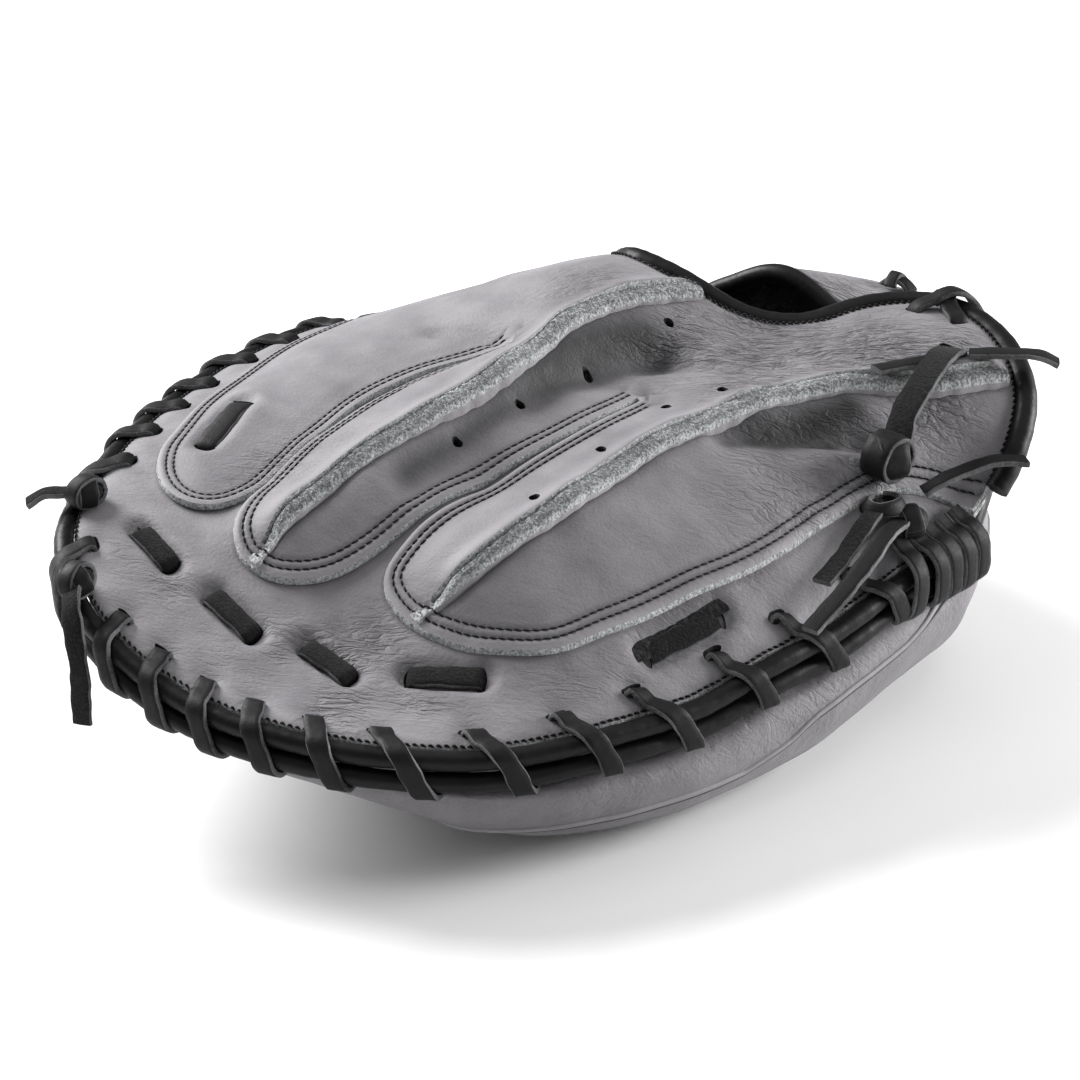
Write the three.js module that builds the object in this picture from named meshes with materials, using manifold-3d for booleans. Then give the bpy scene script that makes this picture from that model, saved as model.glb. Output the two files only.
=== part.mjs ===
// A catcher's mitt for the left hand, lying palm down with the back of the hand up.
// Millimetres. +Z is up, +Y runs from the wrist to the fingertips and +X is the thumb side.
// Every table below is in that frame; the whole group is centred on its own box at the end.
import * as THREE from "three";
import { mergeVertices } from "three/addons/utils/BufferGeometryUtils.js";
import Module from "manifold-3d";

const wasm = await Module();
wasm.setup();

// Driving sizes
const LEATHER = 2.2; // wall of each leather panel
const GAP = 0.3; // clearance between pieces that lie on each other
const LAP = 6; // how far the rim band runs on under the finger panels
const PANEL_LIFT = LEATHER + GAP; // top of a finger panel above the rim band
const PIPING_RADIUS = 2.9;
const PIPING_OUT = PIPING_RADIUS + GAP; // axis of both pipings outside the leather's edge
const BACK_PIPING_DROP = 2.7; // axis of the back's piping below the leather's edge
const PALM_PIPING_DROP = BACK_PIPING_DROP + 2 * PIPING_RADIUS + 3 * GAP;
const BINDING_RADIUS = 3.6; // rolled binding of the wrist opening
const LACE_WIDTH = 5.8;
const LACE_THICK = 1.6;
const DASH_WIDTH = 6.8; // width of the short laces on the back
const ROOM = 0.6; // how much wider and thicker than its lace a lace hole is
const WELT_THICK = 5;
const WELT_HEIGHT = 6;
const WELT_FOOT = 1.9; // lower face of a welt above the rim band, where it lies on the band
const PALM_SETBACK = 3.4; // the palm's side wall, inside the leather's edge
const PALM_DROP = 14.7; // foot of that wall below the leather's edge
const REBATE_WIDTH = 8.6; // groove under the band for the inner run of the rim lace
const REBATE_DEPTH = 3.6;
const CAVITY = 33; // height of the hand cavity
const CAVITY_START = 24; // from the palm's edge
const HEEL_ROUND = 14; // the palm's heel swells most this far below its lip
const POCKET_HEIGHT = 48; // pocket ceiling above the floor
const PALM_LEAST = 10; // thinnest padding
const LINING = 1.6;
const PIPING_FROM = 1; // the pipings start one station from the thumb heel
const PIPING_SHORT = 1; // and stop as far from the pinky heel
const HUB = { x: 10, y: 5 }; // the spokes of both shells meet here

// The back's outer edge, anticlockwise from above. bulge is how far the palm swells out of
// that edge, roll how far inside it the palm is lowest, and lift how high that is.
const EDGE = [
  { at: "pinky_heel", x: -83, y: -118, z: 60, roll: 32, lift: 8, bulge: 3, wrist: true },
  { at: "wrist_side", x: -79, y: -135, z: 76, wrist: true },
  { at: "wrist_corner", x: -68, y: -148, z: 89, wrist: true },
  { at: "wrist_flap", x: -49, y: -154, z: 98, wrist: true },
  { at: "flap_end", x: -28, y: -152, z: 101, wrist: true },
  { at: "scoop_pinky", x: -15, y: -139, z: 100, wrist: true },
  { at: "scoop_low", x: -9, y: -116, z: 97, wrist: true },
  { at: "scoop_mid", x: 3, y: -99, z: 100, wrist: true },
  { at: "scoop_thumb", x: 20, y: -87, z: 109, wrist: true },
  { at: "scoop_top", x: 37, y: -81, z: 112, wrist: true },
  { at: "scoop_far", x: 54, y: -88, z: 105, wrist: true },
  { at: "thumb_flap", x: 71, y: -107, z: 92, wrist: true },
  { at: "thumb_wrist", x: 88, y: -125, z: 75, wrist: true },
  { at: "thumb_heel", x: 104, y: -121, z: 60, roll: 28, lift: 4, bulge: 4, wrist: true },
  { at: "thumb_low", x: 119, y: -98, z: 58, roll: 28, lift: 0, bulge: 5 },
  { at: "thumb_side", x: 127, y: -62, z: 66, roll: 28, lift: 0, bulge: 5 },
  { at: "thumb_mid", x: 125, y: -20, z: 73, roll: 30, lift: 0, bulge: 4 },
  { at: "thumb_high", x: 108, y: 25.5, z: 75, roll: 34, lift: 0, bulge: 3 },
  { at: "thumb_tip", x: 83, y: 61.5, z: 77.5, roll: 40, lift: 22, bulge: 0 },
  { at: "web_thumb", x: 58.6, y: 91.6, z: 77.5, roll: 42, lift: 40, bulge: -3 },
  { at: "web_top", x: 32, y: 116.5, z: 75, roll: 42, lift: 46, bulge: -3 },
  { at: "index_tip", x: 3, y: 125.5, z: 65.5, roll: 40, lift: 42, bulge: -3 },
  { at: "middle_tip", x: -27.5, y: 118, z: 53.5, roll: 38, lift: 33, bulge: -3 },
  { at: "ring_tip", x: -58.4, y: 100.5, z: 48, roll: 36, lift: 24, bulge: -3 },
  { at: "pinky_tip", x: -83, y: 72, z: 44, roll: 30, lift: 12, bulge: -1 },
  { at: "pinky_high", x: -95.5, y: 36, z: 42.4, roll: 24, lift: 3, bulge: 3 },
  { at: "pinky_mid", x: -98.5, y: -6, z: 42.5, roll: 22, lift: 0, bulge: 6 },
  { at: "pinky_low", x: -95.8, y: -52, z: 49, roll: 27, lift: 0, bulge: 6 },
  { at: "pinky_end", x: -89, y: -91, z: 56, roll: 32, lift: 5, bulge: 5 },
];

// The palm's edge across the heel of the hand, from the pinky heel to the thumb heel.
const HEEL = [
  { x: -75, y: -132, z: 55, roll: 26, lift: 7 },
  { x: -56, y: -150, z: 57, roll: 28, lift: 6 },
  { x: -18, y: -163, z: 58, roll: 30, lift: 5 },
  { x: 24, y: -165, z: 57.5, roll: 30, lift: 5 },
  { x: 62, y: -158, z: 64.5, roll: 28, lift: 3 },
  { x: 92, y: -141, z: 57, roll: 28, lift: 1 },
];

// Heights of the finger panels' top face, along the lines that shape the back.
const HEIGHTS = {
  index_ridge: [
    { x: -5, y: 79, z: 71 },
    { x: 0, y: 65, z: 81 },
    { x: 1, y: 40, z: 90 },
    { x: 0, y: 13, z: 98 },
    { x: 4, y: -14, z: 104 },
    { x: 14, y: -40, z: 108 },
    { x: 17, y: -60, z: 109 },
    { x: 14, y: -86, z: 107 },
  ],
  index_foot: [
    { x: -13, y: 60, z: 73 },
    { x: -13, y: 38, z: 83 },
    { x: -13, y: 13, z: 89 },
    { x: -10, y: -14, z: 94 },
    { x: -1, y: -40, z: 98 },
    { x: 2, y: -62, z: 99 },
  ],
  ring_ridge: [
    { x: -46, y: 51, z: 62 },
    { x: -49, y: 38, z: 72 },
    { x: -51, y: 20, z: 80 },
    { x: -50, y: 2, z: 86 },
    { x: -43, y: -33, z: 92 },
    { x: -43, y: -69, z: 95 },
    { x: -46, y: -98, z: 95 },
    { x: -62, y: -130, z: 92 },
  ],
  ring_foot: [
    { x: -61, y: 34, z: 66 },
    { x: -64, y: 16, z: 71 },
    { x: -63, y: -2, z: 76 },
    { x: -57, y: -33, z: 83 },
    { x: -57, y: -68, z: 86 },
    { x: -61, y: -98, z: 86 },
  ],
  pinky_outline: [
    { x: -60, y: 46, z: 58 },
    { x: -80, y: 12, z: 60 },
    { x: -82, y: -19, z: 64 },
    { x: -82, y: -47, z: 68 },
    { x: -75, y: -89, z: 73 },
  ],
  middle_valley: [
    { x: -24, y: 44, z: 73 },
    { x: -20, y: 12, z: 83 },
    { x: -18, y: -44, z: 93 },
    { x: -24, y: -88, z: 94 },
  ],
  index_valley: [
    { x: 22, y: 60, z: 79 },
    { x: 35, y: 30, z: 85 },
    { x: 38, y: 4, z: 90 },
    { x: 31, y: -28, z: 96 },
  ],
  thumb_crown: [
    { x: 43, y: 80, z: 81 },
    { x: 58, y: 48, z: 86 },
    { x: 70, y: 12, z: 89 },
    { x: 74, y: -28, z: 94 },
    { x: 62, y: -58, z: 102 },
    { x: 88, y: -72, z: 90 },
  ],
  thumb_outline: [
    { x: 88, y: 32, z: 81 },
    { x: 110, y: -8, z: 79 },
    { x: 117, y: -48, z: 74 },
  ],
};

// The three lobes of the finger panels, each from its wrist end round its tip, clockwise.
const PINKY_LOBE = [
  { x: -84, y: -124 },
  { x: -76.5, y: -110 },
  { x: -74.5, y: -94 },
  { x: -77.5, y: -68 },
  { x: -82, y: -44 },
  { x: -81.3, y: -18 },
  { x: -80, y: 8 },
  { x: -77, y: 27 },
  { x: -67, y: 41 },
  { x: -53, y: 51 },
  { x: -40, y: 54.5 },
  { x: -29, y: 51.5 },
  { x: -24.5, y: 40 },
  { x: -23.5, y: 18 },
  { x: -23.5, y: -8 },
  { x: -21.5, y: -30 },
  { x: -18, y: -46 },
];
const MIDDLE_LOBE = [
  { x: -16, y: -46 },
  { x: -19.5, y: -30 },
  { x: -21, y: -10 },
  { x: -20.5, y: 12 },
  { x: -21, y: 32 },
  { x: -21, y: 52 },
  { x: -18.5, y: 67 },
  { x: -12.5, y: 77 },
  { x: -4, y: 81.5 },
  { x: 4, y: 80.5 },
  { x: 11, y: 75.5 },
  { x: 18.5, y: 64.5 },
  { x: 26, y: 48 },
  { x: 32.5, y: 29 },
  { x: 35.5, y: 8 },
  { x: 34, y: -14 },
  { x: 29, y: -32 },
];
const THUMB_LOBE = [
  { x: 31, y: -32 },
  { x: 39, y: -14 },
  { x: 41, y: 2 },
  { x: 38.5, y: 18 },
  { x: 31, y: 38 },
  { x: 24, y: 54 },
  { x: 19.5, y: 68 },
  { x: 20.5, y: 77 },
  { x: 26, y: 83 },
  { x: 34, y: 85 },
  { x: 44, y: 82.5 },
  { x: 55, y: 75 },
  { x: 64, y: 63.5 },
  { x: 82, y: 40 },
  { x: 93, y: 21 },
  { x: 106, y: -4 },
  { x: 114, y: -32 },
  { x: 116, y: -62 },
  { x: 112, y: -92 },
  { x: 105, y: -126 },
];

// The raised welts between the panels, from the fingertip to the wrist.
const INDEX_WELT = [
  { x: -5, y: 77 },
  { x: -2, y: 64 },
  { x: 0, y: 40 },
  { x: 0, y: 13 },
  { x: 4, y: -14 },
  { x: 13, y: -40 },
  { x: 16, y: -62 },
  { x: 13.4, y: -87 },
];
const RING_WELT = [
  { x: -46.5, y: 50 },
  { x: -50, y: 38 },
  { x: -51, y: 20 },
  { x: -50, y: 2 },
  { x: -44, y: -33 },
  { x: -43, y: -69 },
  { x: -47, y: -98 },
  { x: -60, y: -126 },
  { x: -64, y: -143 },
];

// Curves

// A closed Catmull-Rom curve through rows, with perSpan samples in each span, every column kept.
function closedCurve(rows, columns, perSpan) {
  const found = [];
  for (let i = 0; i < rows.length; i++) {
    const at = (k) => rows[(i + k + rows.length) % rows.length];
    for (let j = 0; j < perSpan; j++)
      found.push(blendRows(at(-1), at(0), at(1), at(2), columns, j / perSpan));
  }
  return found;
}

function openCurve(rows, columns, perSpan) {
  const found = [];
  const at = (k) => rows[Math.min(Math.max(k, 0), rows.length - 1)];
  for (let i = 0; i < rows.length - 1; i++)
    for (let j = 0; j < perSpan; j++)
      found.push(blendRows(at(i - 1), at(i), at(i + 1), at(i + 2), columns, j / perSpan));
  found.push(blendRows(at(-1), at(rows.length - 1), at(rows.length), at(rows.length), columns, 0));
  return found;
}

function blendRows(a, b, c, d, columns, t) {
  const row = {};
  for (const key of columns)
    row[key] =
      0.5 *
      (2 * b[key] +
        (c[key] - a[key]) * t +
        (2 * a[key] - 5 * b[key] + 4 * c[key] - d[key]) * t * t +
        (3 * b[key] - a[key] - 3 * c[key] + d[key]) * t ** 3);
  return row;
}

const smooth = (low, high, v) => THREE.MathUtils.smoothstep(v, low, high);

// Moves each point of an open plan curve to its right by distance.
function inset(curve, distance) {
  return curve.map((p, i) => {
    const a = curve[Math.max(i - 1, 0)];
    const b = curve[Math.min(i + 1, curve.length - 1)];
    const long = Math.hypot(b.x - a.x, b.y - a.y);
    return { x: p.x + ((b.y - a.y) / long) * distance, y: p.y - ((b.x - a.x) / long) * distance };
  });
}

// A thin-plate surface z(x, y) through rows of x, y, z.
function thinPlate(rows) {
  const scale = 100;
  const n = rows.length;
  const bend = (dx, dy) => {
    const r2 = (dx * dx + dy * dy) / (scale * scale);
    return r2 > 1e-12 ? 0.5 * r2 * Math.log(r2) : 0;
  };
  const softness = 0.002; // lets the surface miss a row by a hair where rows crowd
  const size = n + 3;
  const m = rows.map((a, i) => [
    ...rows.map((b, j) => bend(a.x - b.x, a.y - b.y) + (i === j ? softness : 0)),
    1,
    a.x / scale,
    a.y / scale,
    a.z,
  ]);
  m.push([...rows.map(() => 1), 0, 0, 0, 0]);
  m.push([...rows.map((a) => a.x / scale), 0, 0, 0, 0]);
  m.push([...rows.map((a) => a.y / scale), 0, 0, 0, 0]);
  for (let c = 0; c < size; c++) {
    let pivot = c;
    for (let r = c + 1; r < size; r++) if (Math.abs(m[r][c]) > Math.abs(m[pivot][c])) pivot = r;
    [m[c], m[pivot]] = [m[pivot], m[c]];
    for (let r = c + 1; r < size; r++) {
      const share = m[r][c] / m[c][c];
      for (let k = c; k <= size; k++) m[r][k] -= share * m[c][k];
    }
  }
  const weight = new Array(size).fill(0);
  for (let r = size - 1; r >= 0; r--) {
    let sum = m[r][size];
    for (let k = r + 1; k < size; k++) sum -= m[r][k] * weight[k];
    weight[r] = sum / m[r][r];
  }
  return (x, y) => {
    let z = weight[n] + (weight[n + 1] * x) / scale + (weight[n + 2] * y) / scale;
    for (let i = 0; i < n; i++) z += weight[i] * bend(x - rows[i].x, y - rows[i].y);
    return z;
  };
}

// Top face of the rim band, and PANEL_LIFT above it the top face of the finger panels.
const bandTop = thinPlate([
  ...EDGE.map((row) => ({ ...row, z: row.wrist ? row.z - PANEL_LIFT : row.z })),
  ...Object.values(HEIGHTS)
    .flat()
    .map((row) => ({ ...row, z: row.z - PANEL_LIFT })),
]);
const panelTop = (x, y) => bandTop(x, y) + PANEL_LIFT;

// Solids

// A closed solid from vertices [x, y, z] and triangles.
function solidOf(vertices, triangles) {
  return new wasm.Manifold(
    new wasm.Mesh({
      numProp: 3,
      vertProperties: new Float32Array(vertices.flat()),
      triVerts: new Uint32Array(triangles.flat()),
    }),
  );
}

function solidFrom(geometry) {
  const bare = geometry.index ? geometry.toNonIndexed() : geometry.clone();
  bare.deleteAttribute("normal");
  bare.deleteAttribute("uv");
  const merged = mergeVertices(bare, 1e-4);
  return new wasm.Manifold(
    new wasm.Mesh({
      numProp: 3,
      vertProperties: merged.attributes.position.array,
      triVerts: new Uint32Array(merged.index.array),
    }),
  );
}

// A solid between two faces over a star of rings, the outermost first. A ring may have half as
// many points as the one outside it. top and bottom give each point its height, hub included.
function starSolid(rings, hub, top, bottom) {
  const starts = [0];
  for (const ring of rings) starts.push(starts[starts.length - 1] + ring.length);
  const middle = starts[rings.length];
  const vertices = [];
  for (const face of [top, bottom]) {
    for (const ring of rings) for (const p of ring) vertices.push([p.x, p.y, face(p)]);
    vertices.push([hub.x, hub.y, face(hub)]);
  }
  const triangles = [];
  for (const side of [0, 1]) {
    const id = (r, i) => side * (middle + 1) + starts[r] + (i % rings[r].length);
    const add = (a, b, c) => triangles.push(side === 0 ? [a, b, c] : [a, c, b]);
    for (let r = 0; r + 1 < rings.length; r++)
      for (let i = 0; i < rings[r + 1].length; i++) {
        const halved = rings[r + 1].length < rings[r].length;
        const k = halved ? 2 * i : i;
        const last = id(r, k + (halved ? 2 : 1));
        add(id(r, k), id(r, k + 1), id(r + 1, i));
        if (halved) add(id(r, k + 1), last, id(r + 1, i + 1));
        add(id(r, k + 1), id(r + 1, i + 1), id(r + 1, i));
      }
    const inner = rings.length - 1;
    for (let i = 0; i < rings[inner].length; i++)
      add(id(inner, i), id(inner, i + 1), side * (middle + 1) + middle);
  }
  const under = middle + 1;
  for (let i = 0; i < rings[0].length; i++) {
    const next = (i + 1) % rings[0].length;
    triangles.push([i, under + i, under + next], [i, under + next, next]);
  }
  return solidOf(vertices, triangles);
}
const everyOther = (ring) => ring.filter((_, i) => i % 2 === 0);

// An upright prism over a plan polygon, tall enough to cut the whole mitt.
function prism(polygon) {
  const shape = new THREE.Shape(polygon.map((p) => new THREE.Vector2(p.x, p.y)));
  const geometry = new THREE.ExtrudeGeometry(shape, { depth: 200, bevelEnabled: false });
  geometry.translate(0, 0, -20);
  return solidFrom(geometry);
}

// Sweeps a ring of section corners through stations; each station is a list of Vector3.
function sweep(stations, closed = false) {
  const corners = stations[0].length;
  const vertices = stations.flat().map((v) => [v.x, v.y, v.z]);
  const triangles = [];
  const spans = closed ? stations.length : stations.length - 1;
  for (let s = 0; s < spans; s++)
    for (let k = 0; k < corners; k++) {
      const next = (k + 1) % corners;
      const to = ((s + 1) % stations.length) * corners;
      const a = s * corners + k;
      const b = s * corners + next;
      triangles.push([a, b, to + next], [a, to + next, to + k]);
    }
  if (!closed)
    for (let k = 1; k < corners - 1; k++) {
      const last = (stations.length - 1) * corners;
      triangles.push([0, k + 1, k], [last, last + k, last + k + 1]);
    }
  const made = solidOf(vertices, triangles);
  if (made.volume() > 0) return made;
  return solidOf(
    vertices,
    triangles.map(([a, b, c]) => [a, c, b]),
  );
}

const vector = (p) => new THREE.Vector3(p.x, p.y, p.z);
const joined = (...solids) => wasm.Manifold.union(solids);

function tangentAt(path, i) {
  const a = path[Math.max(i - 1, 0)];
  const b = path[Math.min(i + 1, path.length - 1)];
  return b.clone().sub(a).normalize();
}

// A round tube along a list of Vector3.
function tube(path, radius, sides = 6) {
  const up = new THREE.Vector3(0, 0, 1);
  return sweep(
    path.map((p, i) => {
      const along = tangentAt(path, i);
      const side = along.clone().cross(up).normalize();
      const over = side.clone().cross(along);
      return Array.from({ length: sides }, (_, k) => {
        const angle = (2 * Math.PI * k) / sides;
        return p
          .clone()
          .addScaledVector(side, radius * Math.cos(angle))
          .addScaledVector(over, radius * Math.sin(angle));
      });
    }),
  );
}

// A flat lace along a list of Vector3, its broad face towards facing (a Vector3, or one for each point).
function ribbon(path, facing, width = LACE_WIDTH, thick = LACE_THICK) {
  return sweep(
    path.map((p, i) => {
      const along = tangentAt(path, i);
      const face = (Array.isArray(facing) ? facing[i] : facing).clone();
      const side = along.clone().cross(face).normalize();
      const over = side.clone().cross(along).normalize();
      return [
        [-1, -1],
        [1, -1],
        [1, 1],
        [-1, 1],
      ].map(([s, o]) =>
        p
          .clone()
          .addScaledVector(side, (s * width) / 2)
          .addScaledVector(over, (o * thick) / 2),
      );
    }),
  );
}

const mitt = new THREE.Group();

function finish(color, roughness) {
  return new THREE.MeshStandardMaterial({ color, roughness, metalness: 0 });
}
const GREY_LEATHER = finish(0x8b898d, 0.6);
const SUEDE_EDGE = finish(0x9aa3a3, 0.9);
const BLACK_ROLL = finish(0x2b2b2d, 0.45);
const BLACK_LACE = finish(0x303032, 0.6);
const BLACK_LINING = finish(0x1c1c1e, 0.95);

function add(name, solid, material) {
  const found = solid.getMesh();
  const geometry = new THREE.BufferGeometry();
  geometry.setAttribute("position", new THREE.BufferAttribute(new Float32Array(found.vertProperties), 3));
  geometry.setIndex(new THREE.BufferAttribute(new Uint32Array(found.triVerts), 1));
  geometry.computeVertexNormals();
  const mesh = new THREE.Mesh(geometry, material);
  mesh.name = name;
  mitt.add(mesh);
}

// The back: rim band and finger panels

const PER_SPAN = 2;
const backLoop = closedCurve(EDGE, ["x", "y", "z"], PER_SPAN);
const BACK_RINGS = [1, 0.9, 0.76, 0.6, 0.42, 0.22];
const backRings = BACK_RINGS.map((share) =>
  (share > 0.5 ? backLoop : everyOther(backLoop)).map((p) => ({
    x: HUB.x + (p.x - HUB.x) * share,
    y: HUB.y + (p.y - HUB.y) * share,
  })),
);
const layer = (low, high) =>
  starSolid(
    backRings,
    HUB,
    (p) => bandTop(p.x, p.y) + high,
    (p) => bandTop(p.x, p.y) + low,
  );

const LOBES = [PINKY_LOBE, MIDDLE_LOBE, THUMB_LOBE];
// Closes a plan outline behind the wrist, well outside the leather.
const behindWrist = [
  { x: 105, y: -220 },
  { x: -120, y: -220 },
  { x: -120, y: -124 },
];
const lobeOutline = [...LOBES.flatMap((rows) => openCurve(rows, ["x", "y"], 2)), ...behindWrist].reverse();
const bandOutline = [...LOBES.flatMap((rows) => everyOther(inset(rows, LAP))), ...behindWrist].reverse();

// The plan region on the thumb side (side 1) or pinky side (side -1) of a welt line, moved by shift.
function beside(line, side, shift) {
  const curve = inset(openCurve(line, ["x", "y"], 2), -side * shift);
  const first = curve[0];
  const last = curve[curve.length - 1];
  const outline = [
    ...curve,
    { x: last.x, y: -230 },
    { x: side * 160, y: -230 },
    { x: side * 160, y: 160 },
    { x: first.x, y: 160 },
  ];
  return prism(side > 0 ? outline : outline.reverse());
}

const weltSide = WELT_THICK / 2 + GAP;
const panels = layer(GAP, PANEL_LIFT).intersect(prism(lobeOutline));
const back = {
  rim_band: layer(-LEATHER, 0).subtract(prism(bandOutline)),
  thumb_index_panel: panels.intersect(beside(INDEX_WELT, 1, weltSide)),
  middle_ring_panel: panels
    .subtract(beside(INDEX_WELT, 1, -weltSide))
    .subtract(beside(RING_WELT, -1, -weltSide)),
  pinky_panel: panels.intersect(beside(RING_WELT, -1, weltSide)),
};

const welt = (line) => {
  const curve = openCurve(line, ["x", "y"], 2);
  const left = inset(curve, -WELT_THICK / 2);
  const right = inset(curve, WELT_THICK / 2);
  return sweep(
    curve.map((p, i) => {
      const base = bandTop(p.x, p.y);
      const foot = i < 4 ? WELT_FOOT : -LEATHER / 2;
      return [left[i], right[i]].flatMap(({ x, y }, side) => {
        const low = new THREE.Vector3(x, y, base + foot);
        const high = new THREE.Vector3(x, y, base + WELT_HEIGHT);
        return side === 0 ? [high, low] : [low, high];
      });
    }),
  );
};
add("index_welt", welt(INDEX_WELT), SUEDE_EDGE);
add("ring_welt", welt(RING_WELT), SUEDE_EDGE);

// The rim, in its own measures: station s counts the loop's vertices from the thumb heel (0)
// round the fingertips to the pinky heel (RIM_END) and, backwards, across the wrist to
// WRIST_END; out is away from the leather's edge and up is above the band's top face.

const RIM_START_ROW = EDGE.findIndex((row) => row.at === "thumb_heel");
const HEEL_INDEX = PER_SPAN * RIM_START_ROW;
const RIM_END = backLoop.length - HEEL_INDEX;
const WRIST_END = -HEEL_INDEX;

const outward = backLoop.map((p, i) => {
  const n = backLoop.length;
  const a = backLoop[(i + n - 1) % n];
  const b = backLoop[(i + 1) % n];
  const before = new THREE.Vector2(p.y - a.y, a.x - p.x).normalize();
  const after = new THREE.Vector2(b.y - p.y, p.x - b.x).normalize();
  const both = before.clone().add(after).normalize();
  return both.multiplyScalar(1 / both.dot(before));
});

function rimPoint(s, out, up) {
  const n = backLoop.length;
  const first = Math.floor(s + 1e-9);
  const t = s - first;
  const i = (first + HEEL_INDEX + n) % n;
  const j = (i + 1) % n;
  const mix = (a, b) => a + (b - a) * t;
  const x = mix(backLoop[i].x, backLoop[j].x) + out * mix(outward[i].x, outward[j].x);
  const y = mix(backLoop[i].y, backLoop[j].y) + out * mix(outward[i].y, outward[j].y);
  const edge = mix(
    bandTop(backLoop[i].x, backLoop[i].y),
    bandTop(backLoop[j].x, backLoop[j].y),
  );
  return new THREE.Vector3(x, y, (out < 0 ? bandTop(x, y) : edge) + up);
}

const stationsFrom = (a, b, step = 1) =>
  Array.from({ length: Math.round((b - a) / step) + 1 }, (_, k) => a + k * step);

// A tube round the rim between two stations, its axis at out and up.
const rimTube = (from, to, out, up, radius) =>
  tube(
    stationsFrom(from, to).map((s) => rimPoint(s, out, up)),
    radius,
  );

const piping = (drop) => rimTube(PIPING_FROM, RIM_END - PIPING_SHORT, PIPING_OUT, -drop, PIPING_RADIUS);
add("back_piping", piping(BACK_PIPING_DROP), BLACK_ROLL);
add("palm_piping", piping(PALM_PIPING_DROP), BLACK_ROLL);
add(
  "wrist_binding",
  rimTube(WRIST_END + 1, 0, BINDING_RADIUS + GAP, GAP + LEATHER / 2, BINDING_RADIUS),
  BLACK_ROLL,
);

// The palm: padded, open below at the pocket and hollow above for the hand

const rimShape = openCurve([...EDGE.slice(RIM_START_ROW), EDGE[0]], ["roll", "lift", "bulge"], PER_SPAN);
const rimSpokes = rimShape.map((row, s) => {
  const edge = rimPoint(s, 0, 0);
  const swell = rimPoint(s, row.bulge, 0);
  const next = backRings[1][(s + HEEL_INDEX) % backLoop.length];
  const slope = (bandTop(next.x, next.y) - edge.z) / Math.hypot(next.x - edge.x, next.y - edge.y);
  const lip = edge.z - PALM_DROP;
  const mid = lip - 1.5 - Math.max(row.bulge, 0);
  const lift = Math.max(row.lift, 0);
  return { ...row, lift, x: edge.x, y: edge.y, z: edge.z, swell, slope, lip, mid, wrist: false };
});
const heelEnds = [rimSpokes[rimSpokes.length - 1], rimSpokes[0]].map((end) => ({ ...end, z: end.lip }));
const heelSpokes = openCurve([heelEnds[0], ...HEEL, heelEnds[1]], ["x", "y", "z", "roll", "lift"], 2)
  .slice(1, -1)
  .map((row) => ({ ...row, bulge: 0, swell: row, lip: row.z - 3, mid: row.z - HEEL_ROUND, wrist: true }));
const palmSpokes = [...heelSpokes, ...rimSpokes];

const FLAT = 5; // half the width of the ring that the mitt rests on
const WALL = PALM_SETBACK + 0.4;
const STEP = REBATE_WIDTH + 0.4;
const palmRings = [
  (edge) => -edge.bulge,
  () => PALM_SETBACK,
  () => WALL,
  () => REBATE_WIDTH,
  () => STEP,
  (edge) => edge.roll - FLAT,
  (edge) => edge.roll + FLAT,
  (edge, reach) => reach * 0.68,
].map((distanceOf, ring) =>
  (ring < 7 ? palmSpokes : everyOther(palmSpokes)).map((edge) => {
    const reach = Math.hypot(edge.x - HUB.x, edge.y - HUB.y);
    const d = distanceOf(edge, reach);
    const share = 1 - d / reach;
    const x = ring === 0 ? edge.swell.x : HUB.x + (edge.x - HUB.x) * share;
    const y = ring === 0 ? edge.swell.y : HUB.y + (edge.y - HUB.y) * share;
    return { x, y, d, reach, ring, edge };
  }),
);

// Underside: a quarter-ellipse from the swell to the ring it rests on, then up into the pocket.
function palmLow(p) {
  if (!p.edge) return POCKET_HEIGHT;
  const { roll, lift, bulge, mid } = p.edge;
  const inner = roll - FLAT;
  const low = (u) => lift + (mid - lift) * (1 - Math.sqrt(1 - u * u));
  if (p.d < inner) return low((inner - p.d) / (inner + bulge));
  return lift + (POCKET_HEIGHT - lift) * smooth(roll + FLAT, p.reach * 0.95, p.d);
}

// Upper face: up to the back under the rim, with a groove for the inner run of the rim lace, then
// down to the floor of the hand cavity.
function palmHigh(p) {
  const roof = bandTop(p.x, p.y) - PANEL_LIFT;
  const floor = Math.max(roof - CAVITY, palmLow(p) + PALM_LEAST);
  if (!p.edge) return floor;
  const { roll, lip, mid, wrist, z, slope } = p.edge;
  if (p.ring === 0) return mid + 1.2;
  if (p.ring === 1) return lip;
  if (!wrist && p.ring <= 4) {
    const under = z + slope * p.d - PANEL_LIFT - GAP;
    return p.ring < 4 ? under - REBATE_DEPTH : under;
  }
  const from = wrist ? lip + 3 : roof;
  const start = wrist ? PALM_SETBACK : CAVITY_START - 8;
  return from + (floor - from) * smooth(start, roll + FLAT, p.d);
}
add("palm_pad", starSolid(palmRings, HUB, palmHigh, palmLow), GREY_LEATHER);

const liningRings = palmRings.slice(6);
add(
  "palm_lining",
  starSolid(
    liningRings,
    HUB,
    (p) => palmHigh(p) + GAP + LINING,
    (p) => palmHigh(p) + GAP,
  ),
  BLACK_LINING,
);
add(
  "heel_binding",
  tube(
    heelSpokes.map((p) => new THREE.Vector3(p.x, p.y + 3, p.lip + BINDING_RADIUS + 3.1)),
    BINDING_RADIUS,
  ),
  BLACK_ROLL,
);

// Laces

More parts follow.
